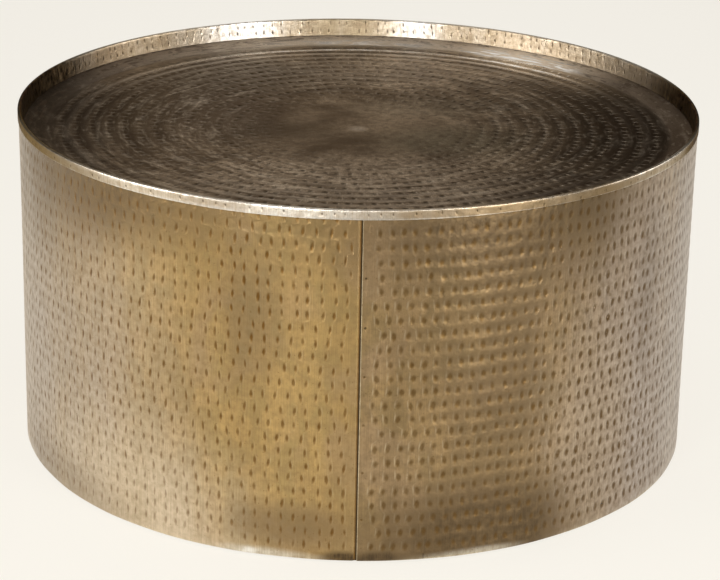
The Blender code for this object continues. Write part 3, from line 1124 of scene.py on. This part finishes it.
    def joggled_lap(self) -> Strip:
        """Adds the edge that steps inwards, dark with grime at its foot, and runs on under the other half.

        Returns:
            Its lines from foot to top.
        """
        slope = np.linspace(self.joggle_start, self.joggle_start + self.joggle, self.joggle_points)
        along = np.concatenate([slope, [self.length + 0.3 * self.tongue, self.length + self.tongue]])
        grime = self.seam_grime * rise((along - self.joggle_start) / self.joggle, *self.grime_shares)
        strip = Strip()
        for up in np.linspace(self.foot, self.top, self.lap_lines):
            strip.add(self.draft.line(self.place(along, up, 0.0), grime), up, along)
        return strip

    def inner_face(self) -> Strip:
        """Adds the smooth inner face.

        Returns:
            Its lines from foot to top.
        """
        slope = np.linspace(self.joggle_start, self.joggle_start + self.joggle, self.back_joggle_points)
        straight = np.linspace(0.0, self.joggle_start, self.back_points, endpoint=False)
        along = np.concatenate([straight, slope, [self.length + self.tongue]])
        strip = Strip()
        for up in np.linspace(self.foot, self.top, self.back_lines):
            strip.add(self.draft.line(self.place(along, up, self.sheet)), up, along)
        return strip

    def shape(self) -> None:
        """Drafts the panel's strips and joins them."""
        hammered = self.hammered_field()
        edge = self.riveted_edge()
        lap = self.joggled_lap()
        back = self.inner_face()
        for strip in (hammered, edge, lap, back):
            for lower, upper in zip(strip.lines, strip.lines[1:]):
                self.draft.bridge(lower, upper)
        for first, first_end, second, second_end in (
            (edge, -1, hammered, 0),
            (hammered, -1, lap, 0),
            (edge, 0, back, 0),
            (lap, -1, back, -1),
        ):
            sides = first.side(first_end), second.side(second_end)
            self.draft.stitch(*sides, first.levels, second.levels)
        for end in (0, -1):
            outer = np.concatenate([strip.lines[end] for strip in (edge, hammered, lap)])
            outer_along = np.concatenate([strip.along[end] for strip in (edge, hammered, lap)])
            self.draft.stitch(outer, back.lines[end], outer_along, back.along[end])


@dataclass(kw_only=True)
class RimHoop(HammeredPiece):
    """The strip that lines the tray's side, folds over the drum's edge and hangs outside as a skirt."""

    wall_work: HammerWork
    skirt_work: HammerWork
    node: str = "rim_hoop"
    body: Body = Body.TRAY
    slot: Slot = Slot.HAMMERED_BRASS
    sheet: float = 0.0008
    width: float = 0.0041
    lean: float = 0.0019
    fold_round: float = 0.0014
    fold_points: int = 4
    skirt: float = 0.0105
    skirt_wave: float = 0.0005
    upper_row: float = 0.0056
    lower_row: float = 0.0150
    skirt_row: float = 0.0058
    joint_angle: float = math.radians(51.5)
    joint_step: float = 0.0005
    joint_fade: float = 0.07
    foot_darkening: float = 0.2
    inner_wear_and_highlight: float = 0.5
    outer_wear_and_highlight: float = 0.6
    skirt_wear_and_highlight: float = 0.8
    edge_wear_and_highlight: float = 0.5
    edge_painted_shade: float = 0.8
    outer: float = field(init=False)
    top: float = field(init=False)
    depth: float = field(init=False)
    lines: list[np.ndarray] = field(init=False)
    even: np.ndarray = field(init=False)

    def __post_init__(self) -> None:
        """Takes the hoop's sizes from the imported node."""
        super().__post_init__()
        self.outer = self.highest.x
        self.top = self.highest.z
        self.depth = self.highest.z - self.lowest.z
        self.lines = []
        self.even = self.wall_work.row(self.hand, self.row_length(), phase=0.0).along(0.0)

    def row_length(self) -> float:
        """Gives the length that is left for marks between the two ends of the strip."""
        return FULL_TURN * self.outer - 4 * self.wall_work.reach()

    def wall_radius(self, depth: np.ndarray) -> np.ndarray:
        """Gives the leaning inner face's radius at a depth below the rim."""
        return self.outer - self.width - self.lean * depth / self.depth

    def add(
        self,
        along: np.ndarray,
        radius: Any,
        depth: Any,
        marks: Any = 0.0,
        wear_and_highlight: float = 0.0,
        lapped: float = 0.0,
    ) -> None:
        """Adds one line round the hoop, from the strip's joint back to it.

        Args:
            along: Places of the points along the strip.
            radius: Their distances from the middle.
            depth: How far they lie below the rim.
            marks: How deep in a hammer mark they lie, from 0 to 1, and also the darkening at the tray's foot
                and the painted shade on the skirt's inner edge.
            wear_and_highlight: How pale the edge there is painted, from 0 to 1, as worn metal and painted
                highlight.
            lapped: 1 where the strip's end stands proud at the joint.
        """
        count = len(along)
        start = 2 * self.wall_work.reach()
        along = np.concatenate([[0.0], start + along, [FULL_TURN * self.outer - self.sheet]])
        radius = np.pad(np.broadcast_to(radius, count), 1, mode="edge")
        depth = np.pad(np.broadcast_to(depth, count), 1, mode="edge")
        radius = radius - lapped * self.joint_step * (1 - rise(along, 0.0, self.joint_fade))
        angle = self.joint_angle + along / self.outer
        shown = np.pad(np.broadcast_to(marks, count), 1)
        self.lines.append(self.draft.line(round_place(radius, angle, self.top - depth), shown, wear_and_highlight))

    def line_tray_wall(self) -> None:
        """Adds the hammered face inside the tray, from its foot up."""
        # The tray wall's foot is darkened a little.
        self.add(self.even, self.wall_radius(self.depth), self.depth, self.foot_darkening, lapped=1.0)
        for level in (self.lower_row, self.upper_row):
            row = self.wall_work.row(self.hand, self.row_length(), phase=100 * level)
            for share in MARK_LINES:
                depth = level - row.across(share)
                radius = self.wall_radius(depth) + row.insets(share)
                self.add(row.along(share), radius, depth, row.bowls(share), lapped=1.0)

    def fold_over(self) -> None:
        """Adds the rounded rim over the drum's edge."""
        turns = np.linspace(0, math.pi / 2, self.fold_points)
        across = self.fold_round * (1 - np.cos(turns))
        drops = self.fold_round * (1 - np.sin(turns))
        for turn, inwards, drop in zip(turns, across, drops):
            # The fold's edges are painted pale, as painted highlight and worn metal.
            wear_and_highlight = self.inner_wear_and_highlight * math.sin(turn)
            self.add(self.even, self.wall_radius(0.0) + inwards, drop, wear_and_highlight=wear_and_highlight, lapped=1.0)
        for inwards, drop in zip(across[::-1], drops[::-1]):
            self.add(self.even, self.outer - inwards, drop, wear_and_highlight=self.outer_wear_and_highlight)

    def hang_skirt(self) -> None:
        """Adds the skirt outside, with its few marks and its uneven lower edge."""
        row = self.skirt_work.row(self.hand, self.row_length(), phase=1.0)
        for share in MARK_LINES[::-1]:
            depth = self.skirt_row - row.across(share)
            self.add(row.along(share), self.outer - row.insets(share), depth, row.bowls(share))
        uneven = waves(self.even / self.outer, 0.0, (1.0, 2, 0, 0.6), (0.6, 5, 0, 2.0))
        edge = self.skirt + self.skirt_wave * uneven
        # A painted highlight, partly worn metal, along the skirt's lower edge, and painted shade on its inner
        # edge.
        self.add(self.even, self.outer, edge - 0.3 * self.sheet, wear_and_highlight=self.skirt_wear_and_highlight)
        self.add(self.even, self.outer - 0.5 * self.sheet, edge, wear_and_highlight=self.edge_wear_and_highlight)
        self.add(self.even, self.outer - self.sheet, edge, marks=self.edge_painted_shade)

    def line_inside(self) -> None:
        """Adds the hidden faces against the drum's edge."""
        self.add(self.even, self.outer - self.sheet, self.sheet)
        self.add(self.even, self.wall_radius(0.0) + self.sheet, self.sheet)
        self.add(self.even, self.wall_radius(self.depth) + self.sheet, self.depth)

    def shape(self) -> None:
        """Drafts the hoop's faces, all the way round its section."""
        self.line_tray_wall()
        self.fold_over()
        self.hang_skirt()
        self.line_inside()
        for first, second in zip(self.lines, self.lines[1:] + self.lines[:1]):
            self.draft.bridge(first, second, closed=True)


@dataclass(kw_only=True)
class TrayFloor(HammeredPiece):
    """The dished floor, hammered in rings, with a plain border that slopes up to the hoop."""

    work: HammerWork
    node: str = "tray_floor"
    body: Body = Body.TRAY
    slot: Slot = Slot.TRAY_BRASS
    sheet: float = 0.001
    border: float = 0.0265
    border_rise: float = 0.0055
    border_shares: tuple[float, ...] = (0.35, 0.7)
    ring_pitch: float = 0.0185
    last_ring: float = 0.351
    ring_count: int = 19
    ring_shift: float = 0.02
    ridge: float = 0.00009
    higher_ridges: Span = (0.2808, 0.3408)
    swell: float = 0.00018
    calm_border: float = 0.03
    calm_middle: float = 0.05
    fold_soft: float = 0.002
    punch_radius: float = 0.0022
    punch_depth: float = 0.0004
    punch_wear_and_highlight: float = 0.2
    punch_points: int = 24
    middle_force: float = 0.15
    soft_middle: Span = (0.04, 0.20)
    left_softer: float = 0.5
    soft_left: Span = (0.10, 0.25)
    lip_painted_glint: float = 0.20
    side_painted_glint: float = 0.40
    painted_glint_beside: Span = (0.12, 0.28)
    border_wear_and_highlight: float = 0.04
    border_bleed: float = 0.36
    bleed_from: Span = (0.325, 0.355)
    outer_rows: Span = (0.29, 0.35)
    back_rows: float = 0.10
    back_from: Span = (0.12, 0.24)
    front_rows: float = 0.12
    front_from: Span = (0.16, 0.28)
    back_painted_reflection: float = 0.58
    back_reflection_spread: float = math.radians(48.6)
    highlight_side: float = math.radians(54)
    highlight_spread: float = math.radians(18)
    plain_points: int = 288
    under_lines: int = 8
    outer: float = field(init=False)
    fold: float = field(init=False)
    fold_height: float = field(init=False)
    dish: float = field(init=False)
    even: np.ndarray = field(init=False)
    last: np.ndarray = field(init=False)
    last_at: np.ndarray = field(init=False)

    def __post_init__(self) -> None:
        """Takes the floor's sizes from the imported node."""
        super().__post_init__()
        self.outer = self.highest.x
        self.fold = self.outer - self.border
        self.fold_height = self.highest.z - self.border_rise
        self.dish = self.fold_height - (self.lowest.z + self.sheet)
        self.even = np.arange(self.plain_points) * FULL_TURN / self.plain_points

    def top_height(self, radius: np.ndarray) -> np.ndarray:
        """Gives the plain height of the floor's top.

        Args:
            radius: Distances from the middle.

        Returns:
            The heights.
        """
        share = np.clip(radius / self.fold, 0, 1)
        dished = self.fold_height - self.dish * (1 + np.cos(math.pi * share)) / 2
        slope = np.clip((radius - self.fold) / self.border, 0, 1)
        return dished + self.border_rise * slope

    def worn_and_highlit(self, angle: np.ndarray) -> np.ndarray:
        """Gives how pale the floor is painted at an angle: a little worn metal all round, a painted
        reflection of the wall at the back and a painted highlight at the back right.

        Args:
            angle: Angles round the middle.

        Returns:
            The paleness, from 0 to 1.
        """
        painted_back_reflection = self.back_painted_reflection * bell(angle, math.pi / 2, self.back_reflection_spread)
        painted_side_highlight = bell(angle, self.highlight_side, self.highlight_spread)
        return self.border_wear_and_highlight + (1 - self.border_wear_and_highlight) * np.maximum(painted_back_reflection, painted_side_highlight)

    def crest(self, radius: np.ndarray) -> np.ndarray:
        """Gives how near a point is to the ridge between two rings.

        Args:
            radius: Distances from the middle.

        Returns:
            The nearness, from 0 to 1.
        """
        rings = (radius - self.last_ring) / self.ring_pitch
        inside = rise(self.last_ring + 0.6 * self.ring_pitch - radius, 0.0, 0.2 * self.ring_pitch)
        return (1 - np.cos(FULL_TURN * rings)) / 2 * inside * rise(radius, 0.0, self.ring_pitch)

    def ridge_wear_and_highlight(self, radius: np.ndarray, angle: np.ndarray) -> np.ndarray:
        """Gives how pale the ridges between the rings are painted, most at the back and the outside, as worn
        metal and painted highlight.

        Args:
            radius: Distances from the middle.
            angle: Angles round it.

        Returns:
            The paleness, from 0 to 1.
        """
        worn_and_highlit = self.worn_and_highlit(angle)
        outer = worn_and_highlit * rise(radius, *self.outer_rows)
        back = self.back_rows * rise(radius * np.sin(angle), *self.back_from)
        front = self.front_rows * rise(-radius * np.sin(angle), *self.front_from)
        beside_border = self.border_bleed * worn_and_highlit * rise(radius, *self.bleed_from)
        return np.clip(self.crest(radius) ** 2 * (outer + back + front) + beside_border, 0, 1)

    def place(self, radius: np.ndarray, angle: np.ndarray, inset: np.ndarray) -> np.ndarray:
        """Puts points on the floor's top.

        Args:
            radius: Distances from the middle.
            angle: Angles round it.
            inset: How far each point is driven down.

        Returns:
            The points.
        """
        swell = self.swell * waves(angle, radius, (1.0, 3, 17, 0.0), (0.7, 5, -31, 1.0))
        swell = swell * rise(self.fold - radius, 0.0, self.calm_border) * rise(radius, 0.0, self.calm_middle)
        ridge = self.ridge * (1 + 2 * rise(radius, *self.higher_ridges))
        height = self.top_height(radius) + ridge * (self.crest(radius) - 0.5) + swell - inset
        return round_place(radius, angle, height)

    def add(
        self,
        points: np.ndarray,
        angles: np.ndarray,
        marks: Union[float, np.ndarray] = 0.0,
        wear_and_highlight: Union[float, np.ndarray] = 0.0,
        stitched: bool = False,
    ) -> None:
        """Adds one line round the floor and joins it to the line before.

        Args:
            points: Places of its points.
            angles: Their angles round the middle, rising.
            marks: How deep in a hammer mark they lie, from 0 to 1.
            wear_and_highlight: How pale they are painted, from 0 to 1, as worn metal and painted highlight.
            stitched: Whether the line before may have another count of points.
        """
        line = self.draft.line(points, marks, wear_and_highlight)
        if stitched:
            self.draft.stitch_round(self.last, line, self.last_at, angles)
        else:
            self.draft.bridge(self.last, line, closed=True)
        self.last, self.last_at = line, angles

    def punch_middle(self) -> None:
        """Adds the punch mark in the middle, where the rings were struck from."""
        few = self.even[:: self.plain_points // self.punch_points]
        pit = self.place(np.zeros(1), np.zeros(1), np.full(1, self.punch_depth))
        middle = self.draft.line(pit, 1.0)
        edge = self.place(np.full(len(few), self.punch_radius), few, 0.0)
        # The ring round the punch is painted a little pale, as worn metal and highlight.
        self.last, self.last_at = self.draft.line(edge, 0.0, self.punch_wear_and_highlight), few
        self.draft.fan(middle, self.last)

    def hammer_ring(self, number: int) -> None:
        """Adds one ring of marks and the ridge outside it.

        Args:
            number: The ring's number from the middle, from 0.
        """
        radius = self.last_ring - (self.ring_count - 1 - number) * self.ring_pitch
        row = self.work.row(self.hand, FULL_TURN * radius, float(number))
        turn = self.hand.uniform(0, self.ring_shift)
        leftward = -radius * np.cos(row.centres / radius + turn)
        row.forces *= self.middle_force + (1 - self.middle_force) * rise(radius, *self.soft_middle)
        row.forces *= 1 - self.left_softer * rise(leftward, *self.soft_left)
        for share in MARK_LINES:
            radii = radius + row.across(share)
            angles = row.along(share) / radius + turn
            sideways = np.abs(radii * np.cos(angles))
            # Painted glints on the dents' lips, stronger towards the sides.
            glinting = self.lip_painted_glint + self.side_painted_glint * rise(sideways, *self.painted_glint_beside)
            wear_and_highlight = self.ridge_wear_and_highlight(radii, angles) + glinting * row.lips(share)
            points = self.place(radii, angles, row.insets(share))
            self.add(points, angles, row.bowls(share), wear_and_highlight, stitched=share == MARK_LINES[0])
        angles = row.along(0.0) / radius + turn
        radii = np.full(len(angles), radius + 0.5 * self.ring_pitch)
        self.add(self.place(radii, angles, 0.0), angles, wear_and_highlight=self.ridge_wear_and_highlight(radii, angles))

    def slope_border(self) -> None:
        """Adds the plain border, from its soft fold up to the hoop."""
        fold = [self.fold - self.fold_soft, self.fold, self.fold + self.fold_soft]
        slope = [self.fold + share * self.border for share in self.border_shares]
        for radius in (*fold, *slope, self.outer):
            points = self.place(np.full(len(self.even), radius), self.even, 0.0)
            # The border is painted pale by angle: a painted reflection at the back and a painted highlight at
            # the back right.
            self.add(points, self.even, wear_and_highlight=self.worn_and_highlit(self.even), stitched=True)

    def close_below(self) -> None:
        """Adds the plain underside, from the edge in to the middle."""
        inwards = np.linspace(self.fold, 0.0, self.under_lines)
        for radius in (self.outer, *inwards[:-1]):
            height = self.top_height(np.array(radius)) - self.sheet
            self.add(round_place(np.full(len(self.even), radius), self.even, height), self.even)
        middle = np.array([[0.0, 0.0, self.top_height(np.zeros(1))[0] - self.sheet]])
        self.draft.fan(self.draft.line(middle), self.last)

    def shape(self) -> None:
        """Drafts the floor's faces, from the middle out and back below."""
        self.punch_middle()
        for number in range(self.ring_count):
            self.hammer_ring(number)
        self.slope_border()
        self.close_below()


@dataclass(frozen=True)
class SteelFrame:
    """The rings, bars, rivets, glides and screws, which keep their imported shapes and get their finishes."""

    paint: PlainFinish
    nylon: PlainFinish
    zinc: PlainFinish
    rivet: PlainFinish

    def dress(self) -> None:
        """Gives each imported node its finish, chosen by the record's material slot."""
        finishes = {
            Slot.FRAME_STEEL.value: self.paint.material(),
            Slot.GLIDE_NYLON.value: self.nylon.material(),
            Slot.SCREW_STEEL.value: self.zinc.material(),
            Slot.SEAM_RIVET.value: self.rivet.material(),
        }
        for part in frame["record"]["subparts"]:
            finish = finishes.get(part["material_slot"])
            if finish is not None:
                materials = frame["nodes"][part["node"]].data.materials
                materials.clear()
                materials.append(finish)
                LOG.info("%s: %s", part["node"], finish.name)


@dataclass(frozen=True)
class SoftBox:
    """A square studio light that is turned to the table."""

    name: str
    place: Place
    side: float
    power: float
    tone: Colour = LAMP_TONE
    spread: float = math.pi
    aim: Place = (0.0, 0.0, 0.2)

    def build(self) -> None:
        """Hangs the light and turns it to the table."""
        lamp = bpy.data.lights.new(self.name, "AREA")
        lamp.shape = "SQUARE"
        lamp.size = self.side
        lamp.energy = self.power
        lamp.color = self.tone
        lamp.spread = self.spread
        hung = bpy.data.objects.new(self.name, lamp)
        hung.location = self.place
        beam = Vector(self.aim) - Vector(self.place)
        hung.rotation_euler = beam.to_track_quat("-Z", "Y").to_euler()
        bpy.context.scene.collection.objects.link(hung)


@dataclass(frozen=True)
class Studio:
    """The pale floor, the soft lights and the camera."""

    paper: StudioPaper
    boxes: tuple[SoftBox, ...]
    room_tone: Colour
    room_light: float
    floor_side: float = 40.0
    lens: float = 124.31
    sensor: float = 36.0
    distance: float = 2.83144
    height: float = 1.22324
    swing: float = math.radians(-1.0)
    turn: float = math.radians(-1.12)
    tilt: float = math.radians(69.56)
    roll: float = math.radians(1.15)

    def lay_floor(self) -> None:
        """Lays the floor."""
        mesh = bpy.data.meshes.new("studio_floor")
        half = self.floor_side / 2
        corners = [(-half, -half, 0.0), (half, -half, 0.0), (half, half, 0.0), (-half, half, 0.0)]
        mesh.from_pydata(corners, [], [(0, 1, 2, 3)])
        mesh.materials.append(self.paper.material())
        floor = bpy.data.objects.new("studio_floor", mesh)
        bpy.context.scene.collection.objects.link(floor)

    def light(self) -> None:
        """Hangs the lights and sets the room's own light."""
        for box in self.boxes:
            box.build()
        world = bpy.data.worlds.new("studio_room")
        world.use_nodes = True
        background = world.node_tree.nodes["Background"]
        background.inputs["Color"].default_value = (*self.room_tone, 1.0)
        background.inputs["Strength"].default_value = self.room_light
        bpy.context.scene.world = world
        bpy.context.scene.view_settings.view_transform = "Standard"

    def set_camera(self) -> None:
        """Puts the camera where the photograph was taken from."""
        lens = bpy.data.cameras.new("photo_camera")
        lens.lens = self.lens
        lens.sensor_width = self.sensor
        camera = bpy.data.objects.new("photo_camera", lens)
        spot = (self.distance * math.sin(self.swing), -self.distance * math.cos(self.swing), self.height)
        turned = Matrix.Rotation(self.turn, 4, "Z") @ Matrix.Rotation(self.tilt, 4, "X")
        camera.matrix_world = Matrix.Translation(spot) @ turned @ Matrix.Rotation(self.roll, 4, "Z")
        bpy.context.scene.collection.objects.link(camera)
        bpy.context.scene.camera = camera


def round_the_table(angle: float, distance: float, height: float) -> Place:
    """Gives a point about the table by its angle from the front, in degrees to the right."""
    return distance * math.sin(math.radians(angle)), -distance * math.cos(math.radians(angle)), height


def wall_place(angle: float, height: float) -> Place:
    """Gives a point on the drum's wall by its angle from the front seam, in degrees to the right."""
    return round_the_table(angle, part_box("right_drum_panel")[1].x, height)


LEFT_WORK = HammerWork(
    pitch=0.0139, half_width=0.0019, half_height=0.0054, depth=0.00065, stray=0.14, wander=0.0010, skew=0.6
)
RIGHT_WORK = HammerWork(
    pitch=0.0128, half_width=0.0031, half_height=0.0054, depth=0.00048, stray=0.14, wander=0.0011, skew=-0.5
)
RING_WORK = HammerWork(
    pitch=0.0140, half_width=0.0033, half_height=0.0034, depth=0.00055, stray=0.12, wander=0.0006, skew=0.4
)
HOOP_WORK = HammerWork(
    pitch=0.0128, half_width=0.0014, half_height=0.0032, depth=0.00050, stray=0.22, wander=0.0007, missed=0.12
)
SKIRT_WORK = HammerWork(
    pitch=0.0128, half_width=0.0011, half_height=0.0018, depth=0.00035, stray=0.20, wander=0.0009, missed=0.45
)

LEFT_BRASS = HammeredBrass(
    "left_panel_brass",
    gold=(0.500, 0.332, 0.124),
    olive=(0.370, 0.263, 0.102),
    rose=(0.487, 0.335, 0.180),
    umber=(0.22, 0.140, 0.055),
    mark=(0.135, 0.062, 0.007),
    worn_and_highlit=WORN_AND_HIGHLIT_GOLD,
    tarnish=0.45,
    grime=0.81,
    roughness=0.36,
    lacquer=0.30,
    dents=0.45,
    # Clouds of painted light and shade: pale painted reflections at the far left and the lower left, painted
    # shade at the top, at the lower left, near the seam and in a dark band, the foot darkened at the seam, a
    # pale band at the foot and a small white painted highlight.
    tint_clouds=(
        TintCloud(wall_place(-60, 0.15), (0.28, 0.28, 0.42), (0.52, 0.440, 0.355), 0.85),
        TintCloud(wall_place(-40, 0.00), (0.23, 0.23, 0.19), (0.74, 0.62, 0.46), 0.75, 0.5),
        TintCloud(wall_place(-46, 0.40), (0.24, 0.26, 0.105), SHADE, 1.0),
        TintCloud(wall_place(-66, 0.36), (0.16, 0.22, 0.120), SHADE, 0.5),
        TintCloud(wall_place(-58, 0.01), (0.16, 0.18, 0.060), SHADE, 0.4),
        TintCloud(wall_place(-4, 0.40), (0.14, 0.10, 0.100), SHADE, 0.5),
        TintCloud(wall_place(-11, 0.040), (0.11, 0.08, 0.040), SHADE, 0.6),
        TintCloud(wall_place(-17, 0.290), (0.050, 0.08, 0.12), (0.15, 0.112, 0.070), 0.5, -0.6),
        TintCloud(wall_place(-2, 0.004), (0.045, 0.05, 0.013), SEAM_FOOT_DARK, 1.0),
        TintCloud(wall_place(-15, 0.003), (0.085, 0.05, 0.011), (0.74, 0.69, 0.58), 0.75),
        TintCloud(wall_place(-17, 0.004), (0.013, 0.02, 0.007), (1.0, 0.98, 0.92), 0.7),
    ),
)
# Browner and darker than the left panel's brass, partly to paint the shade on the drum's right.
RIGHT_BRASS = HammeredBrass(
    "right_panel_brass",
    gold=(0.430, 0.287, 0.125),
    olive=(0.280, 0.196, 0.084),
    rose=(0.420, 0.292, 0.172),
    umber=(0.160, 0.104, 0.048),
    mark=(0.100, 0.050, 0.007),
    worn_and_highlit=WORN_AND_HIGHLIT_GOLD,
    tarnish=0.50,
    grime=0.73,
    roughness=0.36,
    lacquer=0.30,
    dents=0.80,
    # Clouds of painted light and shade: a pale painted reflection at the far right, painted light and a dark
    # streak near it, painted shade at the top, in the middle and at the foot, the foot darkened at the seam
    # and a pale band at the foot.
    tint_clouds=(
        TintCloud(wall_place(60, 0.16), (0.26, 0.28, 0.45), (0.460, 0.390, 0.336), 0.88, -0.25),
        TintCloud(wall_place(54, 0.27), (0.030, 0.05, 0.150), (0.22, 0.180, 0.140), 0.4),
        TintCloud(wall_place(46, 0.36), (0.030, 0.05, 0.060), (0.47, 0.380, 0.290), 0.4),
        TintCloud(wall_place(41, 0.13), (0.08, 0.10, 0.17), (0.520, 0.410, 0.290), 0.5),
        TintCloud(wall_place(19, 0.020), (0.19, 0.14, 0.110), (0.085, 0.054, 0.023), 1.1),
        TintCloud(wall_place(25, 0.410), (0.27, 0.18, 0.160), SHADE, 1.15),
        TintCloud(wall_place(3, 0.004), (0.045, 0.05, 0.013), SEAM_FOOT_DARK, 1.0),
        TintCloud(wall_place(20, 0.225), (0.12, 0.14, 0.25), SHADE, 0.72),
        TintCloud(wall_place(19, 0.003), (0.09, 0.05, 0.009), (0.62, 0.56, 0.45), 0.8),
    ),
)
# Far paler than the wall's brass, with near-white edges, to paint the bright light on the rim.
HOOP_BRASS = HammeredBrass(
    "rim_hoop_brass",
    gold=(0.74, 0.655, 0.53),
    olive=(0.58, 0.492, 0.368),
    rose=(0.76, 0.675, 0.57),
    umber=(0.27, 0.195, 0.115),
    mark=GRIME_AND_SHADE_BROWN,
    worn_and_highlit=(0.97, 0.945, 0.88),
    tarnish=0.7,
    grime=0.70,
    roughness=0.38,
    lacquer=0.05,
    dents=0.7,
    glance=(0.34, 0.28, 0.20),
    # Clouds of painted light and shade: painted shade at the left and right ends and at the front left and
    # front right, white painted highlights at the back and the front, and browner tones at the back.
    tint_clouds=(
        TintCloud((-0.40, 0.00, 0.39), (0.24, 0.37, 0.05), RIM_SHADE, 1.2),
        TintCloud((-0.28, 0.28, 0.395), (0.12, 0.12, 0.05), (0.48, 0.370, 0.235), 0.5),
        TintCloud((-0.05, -0.40, 0.40), (0.125, 0.08, 0.03), (0.95, 0.93, 0.87), 0.6),
        TintCloud((0.40, -0.01, 0.39), (0.19, 0.25, 0.05), RIM_SHADE, 1.2),
        TintCloud((-0.15, 0.37, 0.395), (0.075, 0.10, 0.05), (0.93, 0.91, 0.87), 1.0),
        TintCloud((0.083, 0.39, 0.395), (0.042, 0.10, 0.05), (0.94, 0.92, 0.88), 1.0),
        TintCloud((-0.02, 0.395, 0.395), (0.08, 0.10, 0.05), (0.50, 0.400, 0.250), 0.6),
        TintCloud((0.24, 0.31, 0.395), (0.16, 0.16, 0.05), (0.64, 0.520, 0.360), 0.5),
        TintCloud((0.22, -0.36, 0.395), (0.36, 0.16, 0.05), (0.25, 0.180, 0.098), 1.05),
        TintCloud((-0.36, -0.20, 0.395), (0.16, 0.20, 0.05), (0.31, 0.236, 0.140), 0.95),
    ),
)
TRAY_PATINA = DarkTrayBrass(
    "tray_patina",
    brown=(0.330, 0.242, 0.160),
    black=(0.078, 0.050, 0.032),
    pale=(0.95, 0.80, 0.62),
    painted_glint=(1.0, 0.97, 0.92),
    mark=(0.006, 0.004, 0.002),
    glance=(0.50, 0.485, 0.455),
    roughness=0.36,
    scratches=(
        Scratch((-0.252, 0.095), (-0.170, 0.190), 0.0010),
        Scratch((-0.252, -0.010), (-0.185, 0.045), 0.0008),
    ),
    # Clouds of painted light and shade: pale at the front, in the middle and at the back right, dark on the
    # left, the right side and parts of the middle.
    tint_clouds=(
        TintCloud((0.00, -0.20, 0.37), (0.25, 0.13, 0.10), (0.44, 0.335, 0.235), 0.9),
        TintCloud((0.15, 0.28, 0.37), (0.22, 0.12, 0.10), (0.44, 0.330, 0.225), 0.8),
        TintCloud((0.09, 0.09, 0.37), (0.14, 0.06, 0.10), (0.360, 0.285, 0.195), 0.5),
        TintCloud((0.11, -0.05, 0.37), (0.13, 0.09, 0.10), (0.160, 0.140, 0.094), 0.6),
        TintCloud((-0.09, -0.01, 0.37), (0.11, 0.06, 0.10), (0.060, 0.042, 0.027), 0.6),
        TintCloud((-0.17, 0.09, 0.37), (0.15, 0.21, 0.10), (0.085, 0.057, 0.040), 0.9),
        TintCloud((-0.16, 0.22, 0.38), (0.20, 0.13, 0.10), (0.055, 0.037, 0.024), 0.9),
        TintCloud((-0.28, -0.17, 0.38), (0.12, 0.10, 0.10), (0.300, 0.215, 0.140), 0.6),
        TintCloud((-0.33, 0.09, 0.38), (0.15, 0.22, 0.10), (0.043, 0.024, 0.013), 0.85),
        TintCloud((0.32, 0.00, 0.38), (0.15, 0.30, 0.10), (0.043, 0.025, 0.014), 0.9),
    ),
)
STEEL_FRAME = SteelFrame(
    paint=PlainFinish("satin_black_paint", (0.012, 0.012, 0.011), (0.05, 0.046, 0.04), 0.45, 0.0, 900.0),
    nylon=PlainFinish("black_nylon", (0.008, 0.008, 0.008), (0.03, 0.03, 0.03), 0.6, 0.0, 1400.0),
    zinc=PlainFinish("zinc_plate", (0.42, 0.42, 0.40), (0.25, 0.25, 0.24), 0.35, 1.0, 1200.0),
    rivet=PlainFinish("darkened_rivet_brass", (0.060, 0.042, 0.022), (0.16, 0.11, 0.055), 0.42, 1.0, 1500.0),
)
STUDIO = Studio(
    paper=StudioPaper("studio_paper", (0.15, 0.145, 0.133), (0.905, 0.871, 0.799), 0.88),
    boxes=(
        SoftBox("left_box", round_the_table(-75, 2.7, 1.0), 1.6, 40.0),
        SoftBox("right_box", round_the_table(95, 2.7, 1.0), 1.4, 28.0, (1.0, 0.98, 0.96)),
        SoftBox("top_box", (0.0, 0.6, 3.2), 3.4, 30.0),
        SoftBox("front_left_box", round_the_table(-21, 2.5, 0.62), 0.6, 3.2, spread=NARROW_BEAM),
        SoftBox("far_left_box", round_the_table(-56, 2.6, 0.64), 0.8, 1.8, spread=NARROW_BEAM),
        SoftBox("front_box", round_the_table(9, 2.5, 0.60), 0.6, 0.8, spread=NARROW_BEAM),
        SoftBox("front_right_box", round_the_table(40, 2.6, 0.64), 1.2, 6.5, spread=NARROW_BEAM),
        SoftBox("back_box", round_the_table(-179.1, 3.0, 1.5), 0.9, 3.6),
    ),
    room_tone=(1.0, 0.97, 0.93),
    room_light=0.10,
)


def main() -> None:
    logging.basicConfig(level=logging.INFO, format="%(message)s")
    right = DrumPanel(
        node="right_drum_panel",
        start=-math.pi / 2,
        work=RIGHT_WORK,
        row_pitch=0.0164,
        rivets=Seam.FRONT.rivets(),
        seed=11,
        quilt=0.00018,
        lip_wear_and_highlight=0.55,
        harder=0.25,
    )
    left = DrumPanel(
        node="left_drum_panel",
        start=math.pi / 2,
        work=LEFT_WORK,
        row_pitch=0.0157,
        rivets=Seam.BACK.rivets(),
        seed=23,
    )
    right.build(RIGHT_BRASS.material())
    left.build(LEFT_BRASS.material())
    RimHoop(wall_work=HOOP_WORK, skirt_work=SKIRT_WORK, seed=31).build(HOOP_BRASS.material())
    TrayFloor(work=RING_WORK, seed=47).build(TRAY_PATINA.material())
    STEEL_FRAME.dress()
    STUDIO.lay_floor()
    STUDIO.light()
    STUDIO.set_camera()


if __name__ == "__main__":
    main()
